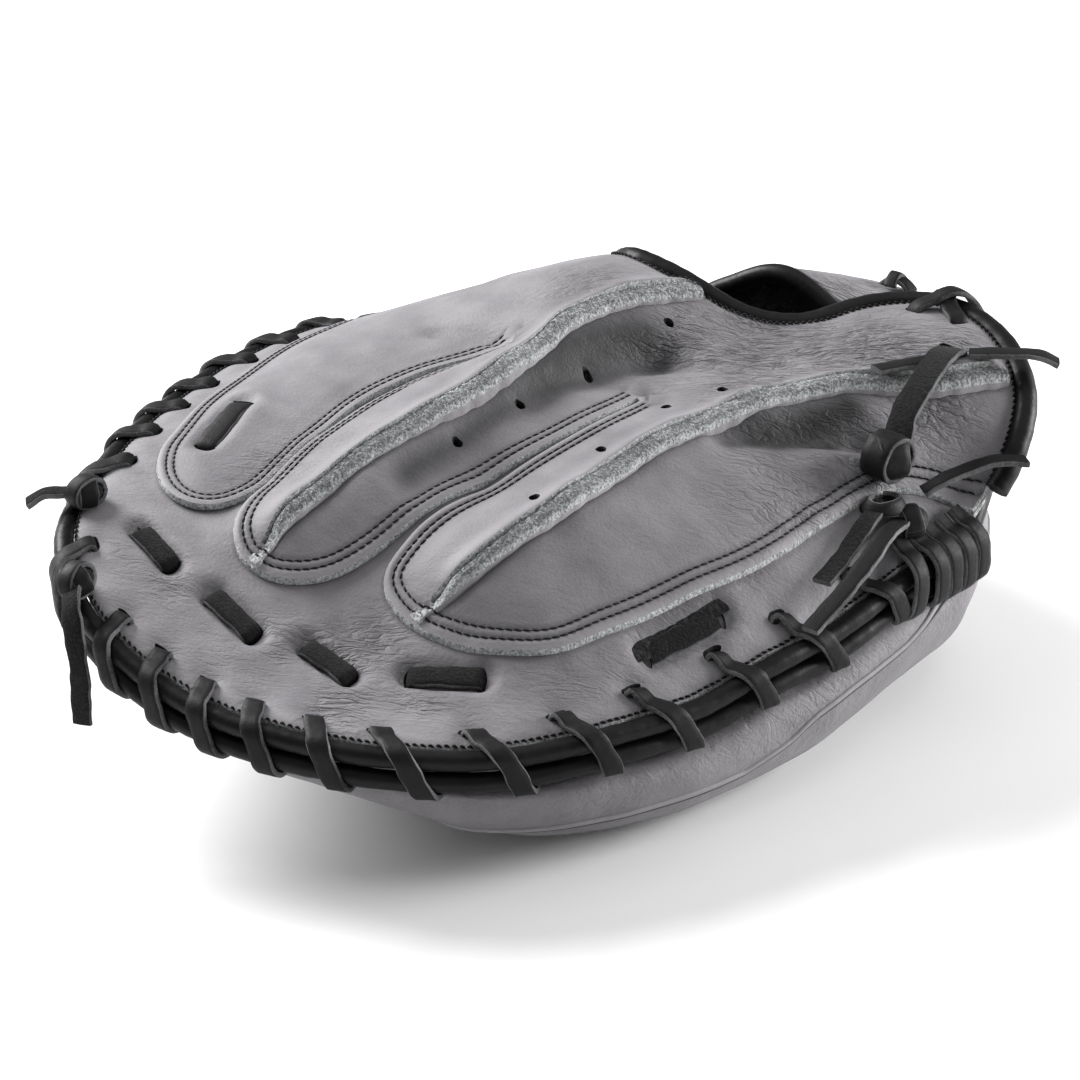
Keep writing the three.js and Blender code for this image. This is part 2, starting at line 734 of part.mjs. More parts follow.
// One turn of the rim lace round both pipings: out and up as in rimPoint, and on, the share of
// the turn's step along the rim that is covered there.
const DOWN = PALM_PIPING_DROP;
const HOLE_OUT = -5.4;
const LACE_TURN = [
  { out: HOLE_OUT, up: -4.1, on: 0 },
  { out: HOLE_OUT, up: 2, on: 0.02 },
  { out: PIPING_OUT, up: 2.1, on: 0.14 },
  { out: PIPING_OUT + 4.3, up: -BACK_PIPING_DROP + 2.2, on: 0.2 },
  { out: PIPING_OUT + 4.3, up: -DOWN - 1.9, on: 0.3 },
  { out: PIPING_OUT + 0.3, up: -DOWN - 5.7, on: 0.36 },
  { out: -1.2, up: -DOWN - 2.3, on: 0.46 },
  { out: -1.5, up: -5.4, on: 0.74 },
  { out: -4, up: -4.9, on: 0.97 },
];
// The stations of the holes that the lace comes up through.
const LACE_HOLES = [
  1.6, 2.6, 3.55, 4.5, 5.6, 6.6, 7.5, 8.5, 9.5, 10.55, 11.6, 14.3, 16.39, 17.41, 18.36, 19.23, 20.22,
  21.21, 22.62, 23.98, 25.17, 26.45, 27.48, 28.85, 30.1,
];
const LACE_TURNS = LACE_HOLES.length - 1;

const lacePath = [];
for (let turn = 0; turn < LACE_TURNS; turn++)
  for (const [k, row] of LACE_TURN.entries())
    if (turn > 0 || k > 1) {
      const from = LACE_HOLES[turn];
      lacePath.push({ ...row, s: from + row.on * (LACE_HOLES[turn + 1] - from) });
    }

// The lace's section lies along the rim, so that the strip wraps the pipings without a twist.
function laceSection(i, width, thick) {
  const { s, out, up } = lacePath[i];
  const along = rimPoint(s + 0.1, 0, 0).sub(rimPoint(s - 0.1, 0, 0)).normalize();
  const across = new THREE.Vector3(along.y, -along.x, 0).normalize();
  const before = lacePath[Math.max(i - 1, 0)];
  const after = lacePath[Math.min(i + 1, lacePath.length - 1)];
  const flat = (row) => {
    const p = rimPoint(s, row.out, row.up);
    return new THREE.Vector2(p.clone().sub(rimPoint(s, 0, 0)).dot(across), p.z);
  };
  const here = flat(lacePath[i]);
  const inTo = here.clone().sub(flat(before));
  const outOf = flat(after).sub(here);
  const dirs = [inTo, outOf].filter((d) => d.length() > 1e-6).map((d) => d.normalize());
  const mean = dirs.reduce((a, b) => a.clone().add(b)).normalize();
  const grow = 1 / Math.max(mean.dot(dirs[0]), 0.6);
  const over = across
    .clone()
    .multiplyScalar(-mean.y * grow)
    .add(new THREE.Vector3(0, 0, mean.x * grow));
  const centre = rimPoint(s, out, up);
  return [
    [-1, -1],
    [1, -1],
    [1, 1],
    [-1, 1],
  ].map(([a, b]) =>
    centre
      .clone()
      .addScaledVector(along, (a * width) / 2)
      .addScaledVector(over, (b * thick) / 2),
  );
}

add("rim_lace", sweep(lacePath.map((_, i) => laceSection(i, LACE_WIDTH, LACE_THICK))), BLACK_LACE);

// Holes for the laces, cut out of the back at the end.
const rooms = [];
for (let turn = 1; turn < LACE_TURNS; turn++) {
  const first = turn * LACE_TURN.length - 2;
  rooms.push(
    sweep([first - 1, first, first + 1].map((i) => laceSection(i, LACE_WIDTH + ROOM, LACE_THICK + ROOM))),
  );
}

// Round holes punched beside the welts, and two in the wrist strap.
const HOLE_RADIUS = 1.9;
const PANEL_HOLES = [
  { x: 5.6, y: -73.7 },
  { x: 1.2, y: -40.4 },
  { x: -3.7, y: -12.5 },
  { x: -7.5, y: 12.2 },
  { x: -30.7, y: -66.2 },
  { x: -27.5, y: -48 },
  { x: -36.6, y: -18 },
  { x: -42.4, y: 9.4 },
];
const STRAP_HOLES = [
  { x: 5.5, y: -152.7 },
  { x: -1, y: -151.2 },
];
function punch({ x, y }) {
  const corners = [0, 1, 2, 3, 4].map((k) => {
    const angle = (2 * Math.PI * k) / 5;
    return { x: x + HOLE_RADIUS * Math.cos(angle), y: y + HOLE_RADIUS * Math.sin(angle) };
  });
  return prism(corners);
}
rooms.push(...PANEL_HOLES.map(punch));

// Short laces that show on the back between two holes, from one hole to the other.
const FINGER_LACES = [
  { x: 48, y: 64, x2: 61, y2: 43, base: PANEL_LIFT },
  { x: 24, y: 100, x2: 9, y2: 99, base: 0 },
  { x: -6, y: 94, x2: -22, y2: 91, base: 0 },
  { x: -33, y: 80, x2: -48, y2: 76, base: 0 },
  { x: -57, y: 61.6, x2: -69.5, y2: 46.5, base: 0 },
  { x: -86.4, y: 2, x2: -86.6, y2: -23, base: 0.8 },
];

// A lace along plan points, lying above the back's face by base, its ends pushed down holes.
function surfacePath(rows, base, clear) {
  return rows.map(({ x, y, up }) => new THREE.Vector3(x, y, bandTop(x, y) + base + clear + (up ?? 0)));
}
function dash({ x, y, x2, y2, base }, room) {
  const at = (t, up) => ({ x: x + (x2 - x) * t, y: y + (y2 - y) * t, up });
  const deep = room > 0 ? -1.6 : -0.9;
  const rows = [at(0, deep), at(0.03, 1.4), at(0.5, 1.6), at(0.97, 1.4), at(1, deep)];
  const path = surfacePath(rows, base, 0.2);
  return bentRibbon(path, { x: y2 - y, y: x - x2 }, DASH_WIDTH + room, LACE_THICK + room);
}

// A ribbon that bends only in the upright plane across side, a plan direction.
function bentRibbon(path, side, width, thick) {
  const across = new THREE.Vector3(side.x, side.y, 0).normalize();
  return sweep(
    path.map((p, i) => {
      const over = across.clone().cross(tangentAt(path, i)).normalize();
      return [
        [-1, -1],
        [1, -1],
        [1, 1],
        [-1, 1],
      ].map(([a, b]) =>
        p
          .clone()
          .addScaledVector(across, (a * width) / 2)
          .addScaledVector(over, (b * thick) / 2),
      );
    }),
  );
}

for (const [k, row] of FINGER_LACES.entries()) {
  add(`finger_lace_${k + 1}`, dash(row, 0), BLACK_LACE);
  rooms.push(dash(row, ROOM));
}

// The wrist strap, between its edge towards the fingers (near) and the one towards the arm.
const STRAP = [
  { x: -22, y: -139, z: 85.6, x2: -33, y2: -162, z2: 85.6 },
  { x: -5, y: -138, z: 91.7, x2: -10, y2: -165, z2: 93 },
  { x: 16, y: -130, z: 103, x2: 14, y2: -163, z2: 91.5 },
  { x: 33, y: -121, z: 96, x2: 42, y2: -160, z2: 85.6 },
  { x: 48, y: -113, z: 85, x2: 61, y2: -152, z2: 72 },
  { x: 60, y: -107, z: 75, x2: 81, y2: -136, z2: 66.5 },
];
const strap = openCurve(STRAP, ["x", "y", "z", "x2", "y2", "z2"], 2);
const STRAP_THICK = 2.6;
const strapBody = sweep(
  strap.map((row) => {
    const lift = new THREE.Vector3(0, 0, STRAP_THICK / 2);
    const near = vector(row);
    const far = new THREE.Vector3(row.x2, row.y2, row.z2);
    return [near.clone().sub(lift), far.clone().sub(lift), far.clone().add(lift), near.clone().add(lift)];
  }),
);
add("wrist_strap", strapBody.subtract(joined(...STRAP_HOLES.map(punch))), GREY_LEATHER);
add(
  "strap_binding",
  tube(
    strap.map((row) => vector({ x: row.x - 0.6, y: row.y + BINDING_RADIUS - 0.1, z: row.z })),
    BINDING_RADIUS - 0.5,
  ),
  BLACK_ROLL,
);

// The wrist laces. up counts from the top face of the finger panels, and z is a plain height.
const spline = (rows, perSpan = 2) =>
  openCurve(
    rows.map((row) => ({ ...row, z: row.z ?? panelTop(row.x, row.y) + row.up })),
    ["x", "y", "z"],
    perSpan,
  ).map(vector);

const TIE = [
  { x: -52, y: -137, up: -2 },
  { x: -53, y: -135.5, up: 1.4 },
  { x: -58, y: -127, z: 101 },
  { x: -64, y: -115, z: 98 },
  { x: -69, y: -104, z: 92 },
  { x: -73, y: -98, z: 86 },
];
const TIE_TAIL = [
  { x: -54, y: -129, z: 98.3 },
  { x: -53, y: -119, z: 98.7 },
  { x: -52, y: -107, z: 99.4 },
];
const TIE_END = [
  { x: -57, y: -139, up: 2.5 },
  { x: -63.5, y: -146.5, z: 99.2 },
  { x: -71, y: -154, z: 99.4 },
  { x: -75, y: -158.5, z: 97 },
];
const STRAP_OVER = [
  { x: -27, y: -142, up: -1.9 },
  { x: -27.3, y: -143.5, up: 1.8 },
  { x: -29, y: -148, z: 106.4 },
  { x: -31, y: -154, z: 108.6 },
  { x: -32, y: -160, z: 105.2 },
  { x: -33, y: -165, z: 97.5 },
];
const STRAP_UNDER = [
  { x: -42, y: -148, up: -1.9 },
  { x: -40.5, y: -148.5, up: 1.4 },
  { x: -36, y: -150, z: 103.4 },
  { x: -30, y: -153, z: 105.2 },
  { x: -24, y: -157.5, z: 104.2 },
  { x: -18, y: -162, z: 96.5 },
];
const UP = new THREE.Vector3(0, 0, 1);

// A knot: a flattened ball.
function knot({ x, y, z }, long, wide, high) {
  const ball = new THREE.SphereGeometry(1, 7, 5);
  ball.scale(long, wide, high);
  ball.rotateZ(Math.PI / 5);
  ball.translate(x, y, z);
  return solidFrom(ball);
}
const wideStrip = (room) => ribbon(spline(TIE), UP, 8.5 + room, 1.8 + room);
const strapOver = (room) => ribbon(spline(STRAP_OVER, 1), UP, LACE_WIDTH + room, LACE_THICK + room);
const strapUnder = (room) => ribbon(spline(STRAP_UNDER, 1), UP, LACE_WIDTH + room, LACE_THICK + room);

add("wrist_tie", joined(wideStrip(0), knot({ x: -74, y: -94, z: 83 }, 9, 7, 6.5)), BLACK_LACE);
add("tie_tail", ribbon(spline(TIE_TAIL, 1), UP), BLACK_LACE);
add("tie_end", ribbon(spline(TIE_END, 1), UP), BLACK_LACE);
add("strap_lace_over", strapOver(0), BLACK_LACE);
add("strap_lace_under", strapUnder(0), BLACK_LACE);
add("strap_knot", knot({ x: 2, y: -160.5, z: 98.9 }, 5.5, 4.5, 3), BLACK_LACE);
rooms.push(wideStrip(ROOM), strapOver(ROOM), strapUnder(ROOM));

// Lace loops and tails at the pinky heel, where the rim lace ends.
const HEEL_LOOP = [
  { out: -2.5, up: 4.8 },
  { out: 1, up: 4.9 },
  { out: 4.8, up: 3.7 },
  { out: 8, up: -0.8 },
  { out: 8.1, up: -DOWN },
  { out: 6.4, up: -DOWN - 3.6 },
  { out: PIPING_OUT, up: -DOWN - 4.7 },
  { out: 0.4, up: -DOWN - 3.6 },
];
function heelLoop(s) {
  const along = rimPoint(s, 0, 0).sub(rimPoint(s - 0.1, 0, 0)).normalize();
  const path = HEEL_LOOP.map(({ out, up }, k) => rimPoint(s, out, up).addScaledVector(along, 0.5 * k));
  return bentRibbon(path, { x: -along.x, y: -along.y }, LACE_WIDTH, LACE_THICK);
}
[1.35, 0.85, 0.35].forEach((back, k) => add(`heel_loop_${k + 1}`, heelLoop(RIM_END - back), BLACK_LACE));

const HEEL_TAIL_A = [
  { x: -79, y: -89, up: 2 },
  { x: -83, y: -80, z: 70 },
  { x: -88, y: -68, z: 65 },
  { x: -93, y: -55, z: 61 },
];
const HEEL_TAIL_B = [
  { x: -82.5, y: -97, up: 2.4 },
  { x: -90, y: -82, z: 68.5 },
  { x: -98, y: -63, z: 62 },
  { x: -104, y: -42, z: 54 },
];
const HEEL_TAIL_C = [
  { x: -79, y: -104, up: 4.9 },
  { x: -82, y: -112, z: 75 },
  { x: -86, y: -124, z: 78 },
  { x: -90, y: -134, z: 77 },
];
add("heel_tail_a", ribbon(spline(HEEL_TAIL_A, 1), UP), BLACK_LACE);
add("heel_tail_b", ribbon(spline(HEEL_TAIL_B, 1), UP), BLACK_LACE);
add("heel_tail_c", ribbon(spline(HEEL_TAIL_C, 1), UP), BLACK_LACE);

// Knots on the rim at the web.
const WEB_TAIL_A = [
  { x: 43, y: 107.5, z: 81.4 },
  { x: 46.5, y: 112.2, z: 80.6 },
  { x: 49.5, y: 116.5, z: 80.4 },
  { x: 51.8, y: 121, z: 77.5 },
];
const WEB_TAIL_B = [
  { x: 6, y: 131.5, z: 72 },
  { x: -1, y: 136, z: 69 },
  { x: -6, y: 137.2, z: 58 },
  { x: -6.5, y: 137.2, z: 37 },
];
add(
  "web_knot_a",
  joined(knot({ x: 42, y: 107, z: 81.2 }, 6.2, 5.4, 4.4), ribbon(spline(WEB_TAIL_A), UP)),
  BLACK_LACE,
);
add(
  "web_knot_b",
  joined(
    knot({ x: 9, y: 128.4, z: 72.6 }, 6.2, 5.4, 4.4),
    ribbon(spline(WEB_TAIL_B), new THREE.Vector3(-0.6, 0.8, 0.3)),
  ),
  BLACK_LACE,
);

for (const [name, solid] of Object.entries(back))
  add(name, solid.subtract(joined(...rooms)), GREY_LEATHER);

// The group stands on z = 0, centred on its own box.
const box = new THREE.Box3().setFromObject(mitt, true);
const centre = box.getCenter(new THREE.Vector3());
for (const mesh of mitt.children) mesh.geometry.translate(-centre.x, -centre.y, -box.min.z);
mitt.updateMatrixWorld(true);
export default mitt;
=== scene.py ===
import math

import bpy
import numpy as np
from mathutils import Matrix, Vector, geometry


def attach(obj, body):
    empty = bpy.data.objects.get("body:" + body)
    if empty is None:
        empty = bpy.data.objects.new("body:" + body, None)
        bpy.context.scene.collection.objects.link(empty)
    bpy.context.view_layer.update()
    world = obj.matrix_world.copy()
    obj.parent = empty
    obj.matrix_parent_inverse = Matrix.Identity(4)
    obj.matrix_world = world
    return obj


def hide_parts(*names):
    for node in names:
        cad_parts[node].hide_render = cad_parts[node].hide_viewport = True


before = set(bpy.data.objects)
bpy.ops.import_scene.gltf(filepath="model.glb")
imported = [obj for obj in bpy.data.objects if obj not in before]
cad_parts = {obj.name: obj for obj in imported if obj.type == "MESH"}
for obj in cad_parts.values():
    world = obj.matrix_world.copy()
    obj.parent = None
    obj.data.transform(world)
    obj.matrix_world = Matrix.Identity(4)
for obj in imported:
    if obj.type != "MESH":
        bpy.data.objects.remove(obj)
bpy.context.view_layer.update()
scene = bpy.context.scene

# Measures are in millimetres: +X thumb, +Y fingertips, +Z up, and CENTRE is the frame's origin.
CENTRE = np.array([14.494628906, -13.278808594, 0.0])
UPWARD = np.array([0.0, 0.0, 1.0])
LEATHER = 2.2
PANEL_LIFT = 2.5
PIPING_OUT = 3.2
PIPING_RADIUS = 2.9
BACK_DROP = 2.7
PALM_DROP = 9.4
BINDING_RADIUS = 3.6
LACE_WIDTH = 5.8
LACE_THICK = 1.6
DASH_WIDTH = 6.8
SEAM_ROWS = (2.5, 4.7)  # stitches, from a lobe's raw edge
WELT_HALF = 2.4
WELT_HEAD = 5.5  # length of the stitched end, which is narrow and low
HOLE_RADIUS = 1.6
SLOT_IN = 5.6  # the rim lace's holes, from the outline
HUB = np.array([10.0, 5.0])

# The outline of the back: x, y, z, then three measures of the palm below it, and 1 where the outline
# runs along the wrist. The palm rests on a ring, roll inwards of the outline and lift above the ground,
# and above it swells out by bulge.
EDGE = np.array([
    (-83, -118, 60, 32, 8, 3, 1), (-79, -135, 76, 0, 0, 0, 1), (-68, -148, 89, 0, 0, 0, 1),
    (-49, -154, 98, 0, 0, 0, 1), (-28, -152, 101, 0, 0, 0, 1), (-15, -139, 100, 0, 0, 0, 1),
    (-9, -116, 97, 0, 0, 0, 1), (3, -99, 100, 0, 0, 0, 1), (20, -87, 109, 0, 0, 0, 1),
    (37, -81, 112, 0, 0, 0, 1), (54, -88, 105, 0, 0, 0, 1), (71, -107, 92, 0, 0, 0, 1),
    (88, -125, 75, 0, 0, 0, 1), (104, -121, 60, 28, 4, 4, 1), (119, -98, 58, 28, 0, 5, 0),
    (127, -62, 66, 28, 0, 5, 0), (125, -20, 73, 30, 0, 4, 0), (108, 25.5, 75, 34, 0, 3, 0),
    (83, 61.5, 77.5, 40, 22, 0, 0), (58.6, 91.6, 77.5, 42, 40, -3, 0), (32, 116.5, 75, 42, 46, -3, 0),
    (3, 125.5, 65.5, 40, 42, -3, 0), (-27.5, 118, 53.5, 38, 33, -3, 0), (-58.4, 100.5, 48, 36, 24, -3, 0),
    (-83, 72, 44, 30, 12, -1, 0), (-95.5, 36, 42.4, 24, 3, 3, 0), (-98.5, -6, 42.5, 22, 0, 6, 0),
    (-95.8, -52, 49, 27, 0, 6, 0), (-89, -91, 56, 32, 5, 5, 0),
])

# The palm's edge at the heel: x, y, z, roll and lift as in EDGE
HEEL = np.array([
    (-75, -132, 55, 26, 7), (-56, -150, 57, 28, 6), (-18, -163, 58, 30, 5), (24, -165, 57.5, 30, 5),
    (62, -158, 64.5, 28, 3), (92, -141, 57, 28, 1),
])

# Heights of the panels' top face along the lines that shape the back: x, y, z
HEIGHTS = np.array([
    (-5, 79, 71), (0, 65, 81), (1, 40, 90), (0, 13, 98), (4, -14, 104), (14, -40, 108),
    (17, -60, 109), (14, -86, 107),
    (-13, 60, 73), (-13, 38, 83), (-13, 13, 89), (-10, -14, 94), (-1, -40, 98), (2, -62, 99),
    (-46, 51, 62), (-49, 38, 72), (-51, 20, 80), (-50, 2, 86), (-43, -33, 92), (-43, -69, 95),
    (-46, -98, 95), (-62, -130, 92),
    (-61, 34, 66), (-64, 16, 71), (-63, -2, 76), (-57, -33, 83), (-57, -68, 86), (-61, -98, 86),
    (-60, 46, 58), (-80, 12, 60), (-82, -19, 64), (-82, -47, 68), (-75, -89, 73),
    (-24, 44, 73), (-20, 12, 83), (-18, -44, 93), (-24, -88, 94),
    (22, 60, 79), (35, 30, 85), (38, 4, 90), (31, -28, 96),
    (43, 80, 81), (58, 48, 86), (70, 12, 89), (74, -28, 94), (62, -58, 102), (88, -72, 90),
    (88, 32, 81), (110, -8, 79), (117, -48, 74),
], float)

# Raw edges of the panels, welts and holes, in plan
PINKY_LOBE = [
    (-84, -124), (-76.5, -110), (-74.5, -94), (-77.5, -68), (-82, -44), (-81.3, -18), (-80, 8),
    (-77, 27), (-67, 41), (-53, 51), (-40, 54.5), (-29, 51.5), (-24.5, 40), (-23.5, 18),
    (-23.5, -8), (-21.5, -30), (-18, -46),
]
MIDDLE_LOBE = [
    (-16, -46), (-19.5, -30), (-21, -10), (-20.5, 12), (-21, 32), (-21, 52), (-18.5, 67),
    (-12.5, 77), (-4, 81.5), (4, 80.5), (11, 75.5), (18.5, 64.5), (26, 48), (32.5, 29), (35.5, 8),
    (34, -14), (29, -32),
]
THUMB_LOBE = [
    (31, -32), (39, -14), (41, 2), (38.5, 18), (31, 38), (24, 54), (19.5, 68), (20.5, 77),
    (26, 83), (34, 85), (44, 82.5), (55, 75), (64, 63.5), (82, 40), (93, 21), (106, -4),
    (114, -32), (116, -62), (112, -92), (105, -126),
]
INDEX_WELT = [(-5, 77), (-2, 64), (0, 40), (0, 13), (4, -14), (13, -40), (16, -62), (13.4, -87)]
RING_WELT = [
    (-46.5, 50), (-50, 38), (-51, 20), (-50, 2), (-44, -33), (-43, -69), (-47, -98), (-60, -126),
    (-64, -143),
]
PANEL_HOLES = [
    (5.6, -73.7), (1.2, -40.4), (-3.7, -12.5), (-7.5, 12.2), (-30.7, -66.2), (-27.5, -48),
    (-36.6, -18), (-42.4, 9.4),
]
# The strap's edge at the wrist and its other edge: x, y, z of both
STRAP = [
    (-22, -139, 85.6, -33, -162, 85.6), (-5, -138, 91.7, -10, -165, 93),
    (16, -130, 103, 14, -163, 91.5), (33, -121, 96, 42, -160, 85.6), (48, -113, 85, 61, -152, 72),
    (60, -107, 75, 81, -136, 66.5),
]

# Camera: the photograph's view, taken from the pinky side of the fingertips.
AZIMUTH = math.radians(235)
ELEVATION = math.radians(26)
TARGET = np.array([-16.0, -11.0, 56.0])
DISTANCE = 1060.0
BACK = np.array([
    math.sin(AZIMUTH) * math.cos(ELEVATION),
    -math.cos(AZIMUTH) * math.cos(ELEVATION),
    math.sin(ELEVATION),
])
RIGHT = np.array([math.cos(AZIMUTH), math.sin(AZIMUTH), 0.0])
UP = np.cross(BACK, RIGHT)


def metres(p):
    return (np.asarray(p, float) - CENTRE) / 1000


def unit(v):
    return v / np.maximum(np.linalg.norm(v, axis=-1, keepdims=True), 1e-12)


def placed(name, data):
    """A new object in the scene."""
    thing = bpy.data.objects.new(name, data)
    scene.collection.objects.link(thing)
    return thing


eye = bpy.data.cameras.new("camera")
eye.lens = 120
eye.sensor_width = 36
eye.clip_start = 0.02
eye.clip_end = 50
camera = placed("camera", eye)
stand = Matrix(np.column_stack([RIGHT, UP, BACK]).tolist()).to_4x4()
stand.translation = Vector(metres(TARGET + DISTANCE * BACK))
camera.matrix_world = stand
scene.camera = camera

# Curves and fields


def spline_at(points, u, closed=False):
    """The Catmull-Rom curve through points, at u counted in points."""
    p = np.asarray(points, float)
    u = np.asarray(u, float)
    n = len(p)
    if not closed:
        u = np.clip(u, 0, n - 1 - 1e-9)
    i = np.floor(u).astype(int)
    t = (u - i)[..., None]
    pick = (lambda k: p[k % n]) if closed else (lambda k: p[np.clip(k, 0, n - 1)])
    a, b, c, d = pick(i - 1), pick(i), pick(i + 1), pick(i + 2)
    return 0.5 * (
        2 * b + (c - a) * t + (2 * a - 5 * b + 4 * c - d) * t**2 + (3 * b - a - 3 * c + d) * t**3
    )


def curve(points, per=12, closed=False):
    n = len(points)
    count = n * per if closed else (n - 1) * per + 1
    return spline_at(points, np.arange(count) / per, closed)


def lengths(line):
    """Length along a line at each of its points."""
    return np.r_[0, np.cumsum(np.linalg.norm(np.diff(line, axis=0), axis=1))]


def evenly(line, step, width=3):
    """Points about step apart along a line; columns beyond width are carried along."""
    line = np.asarray(line, float)
    long = lengths(line[:, :width])
    count = max(int(round(long[-1] / step)), 2)
    at = np.linspace(0, long[-1], count + 1)
    return np.column_stack([np.interp(at, long, line[:, k]) for k in range(line.shape[1])])


def smooth(a, b, x):
    t = np.clip((x - a) / (b - a), 0, 1)
    return t * t * (3 - 2 * t)


def hump(x, width):
    return np.exp(-((x / width) ** 2))


WAVES = 7


def waves(p, size, seed):
    """Smooth noise from -1 to 1 with features about size across."""
    chance = np.random.RandomState(seed)
    p = np.asarray(p, float)
    total = np.zeros(p.shape[:-1])
    for _ in range(WAVES):
        way = unit(chance.normal(size=p.shape[-1]))
        turns = p @ way * 2 * math.pi / (size * chance.uniform(1.4, 3.2))
        total += np.sin(turns + chance.uniform(0, 6.3))
    return total / math.sqrt(WAVES * 2)


BLOCK = 3000  # points measured at once


def nearest(p, line, closed=False):
    """Distance of plan points from a line, the length along it there, and the side (+1 left)."""
    line = np.asarray(line, float)
    a = line if closed else line[:-1]
    b = np.roll(line, -1, 0) if closed else line[1:]
    ab = b - a
    long = np.linalg.norm(ab, axis=1)
    start = np.r_[0, np.cumsum(long)[:-1]]
    found = []
    for k in range(0, max(len(p), 1), BLOCK):
        ap = p[k : k + BLOCK, None] - a[None]
        t = np.clip((ap * ab).sum(2) / np.maximum(long**2, 1e-12), 0, 1)
        d2 = ((ap - t[..., None] * ab) ** 2).sum(2)
        best = d2.argmin(1)
        at = np.arange(len(ap)), best
        side = np.sign(ab[best, 0] * ap[at][:, 1] - ab[best, 1] * ap[at][:, 0])
        found.append([np.sqrt(d2[at]), start[best] + t[at] * long[best], side])
    return np.concatenate(found, 1)


def inside(p, polygon):
    x, y = p[:, 0], p[:, 1]
    found = np.zeros(len(p), bool)
    a = np.asarray(polygon, float)
    b = np.roll(a, -1, 0)
    for (x0, y0), (x1, y1) in zip(a, b):
        if y0 == y1:
            continue
        crosses = (y0 > y) != (y1 > y)
        found ^= crosses & (x < (x1 - x0) * (y - y0) / (y1 - y0) + x0)
    return found


def right_of(way):
    return np.stack([way[..., 1], -way[..., 0]], -1)


def inset(line, distance):
    """A plan line moved to its right."""
    return line + distance * right_of(unit(np.gradient(line, axis=0)))


# The back's surface: a thin plate through the edge and the lines of HEIGHTS.
PLATE_EASE = 0.002
PLATE_SCALE = 100.0
plate_rows = np.vstack([
    EDGE[:, :3] - [0, 0, PANEL_LIFT] * EDGE[:, 6:7], HEIGHTS - [0, 0, PANEL_LIFT],
])


def bend(d2):
    r2 = d2 / PLATE_SCALE**2
    return np.where(r2 > 1e-12, 0.5 * r2 * np.log(np.maximum(r2, 1e-300)), 0)


def solve_plate(rows):
    n = len(rows)
    m = np.zeros((n + 3, n + 3))
    m[:n, :n] = bend(((rows[:, None, :2] - rows[None, :, :2]) ** 2).sum(2)) + PLATE_EASE * np.eye(n)
    flat = np.c_[np.ones(n), rows[:, :2] / PLATE_SCALE]
    m[:n, n:] = flat
    m[n:, :n] = flat.T
    return np.linalg.solve(m, np.r_[rows[:, 2], 0, 0, 0])


plate = solve_plate(plate_rows)


def band(p):
    """Height of the rim band's top face over plan points."""
    p = np.asarray(p, float)
    n = len(plate_rows)
    d2 = ((p[..., None, :2] - plate_rows[:, :2]) ** 2).sum(-1)
    return bend(d2) @ plate[:n] + plate[n] + p[..., :2] @ plate[n + 1 :] / PLATE_SCALE


def up_of(p):
    """Upward normal of the back's surface."""
    p = np.asarray(p, float)
    dx = band(p[..., :2] + [0.5, 0]) - band(p[..., :2] - [0.5, 0])
    dy = band(p[..., :2] + [0, 0.5]) - band(p[..., :2] - [0, 0.5])
    return unit(np.stack([-dx, -dy, np.ones_like(dx)], -1))


# The rim: station s runs from the thumb heel (0) round the fingertips to the pinky heel (32), and
# backwards across the wrist to -26; out is away from the edge, up is above the band's top face.
RIM_START = 13  # the row of EDGE at station 0


def rim_plan(s):
    u = (np.asarray(s, float) + 2 * RIM_START) / 2
    p = spline_at(EDGE[:, :2], u, True)
    way = unit(spline_at(EDGE[:, :2], u + 0.02, True) - spline_at(EDGE[:, :2], u - 0.02, True))
    return p, way


def rim(s, out, up):
    s, out, up = np.broadcast_arrays(np.asarray(s, float), out, up)
    p, way = rim_plan(s)
    q = p + out[..., None] * right_of(way)
    z = np.where(out < 0, band(q), band(p)) + up
    return np.concatenate([q, z[..., None]], -1)


# Meshes


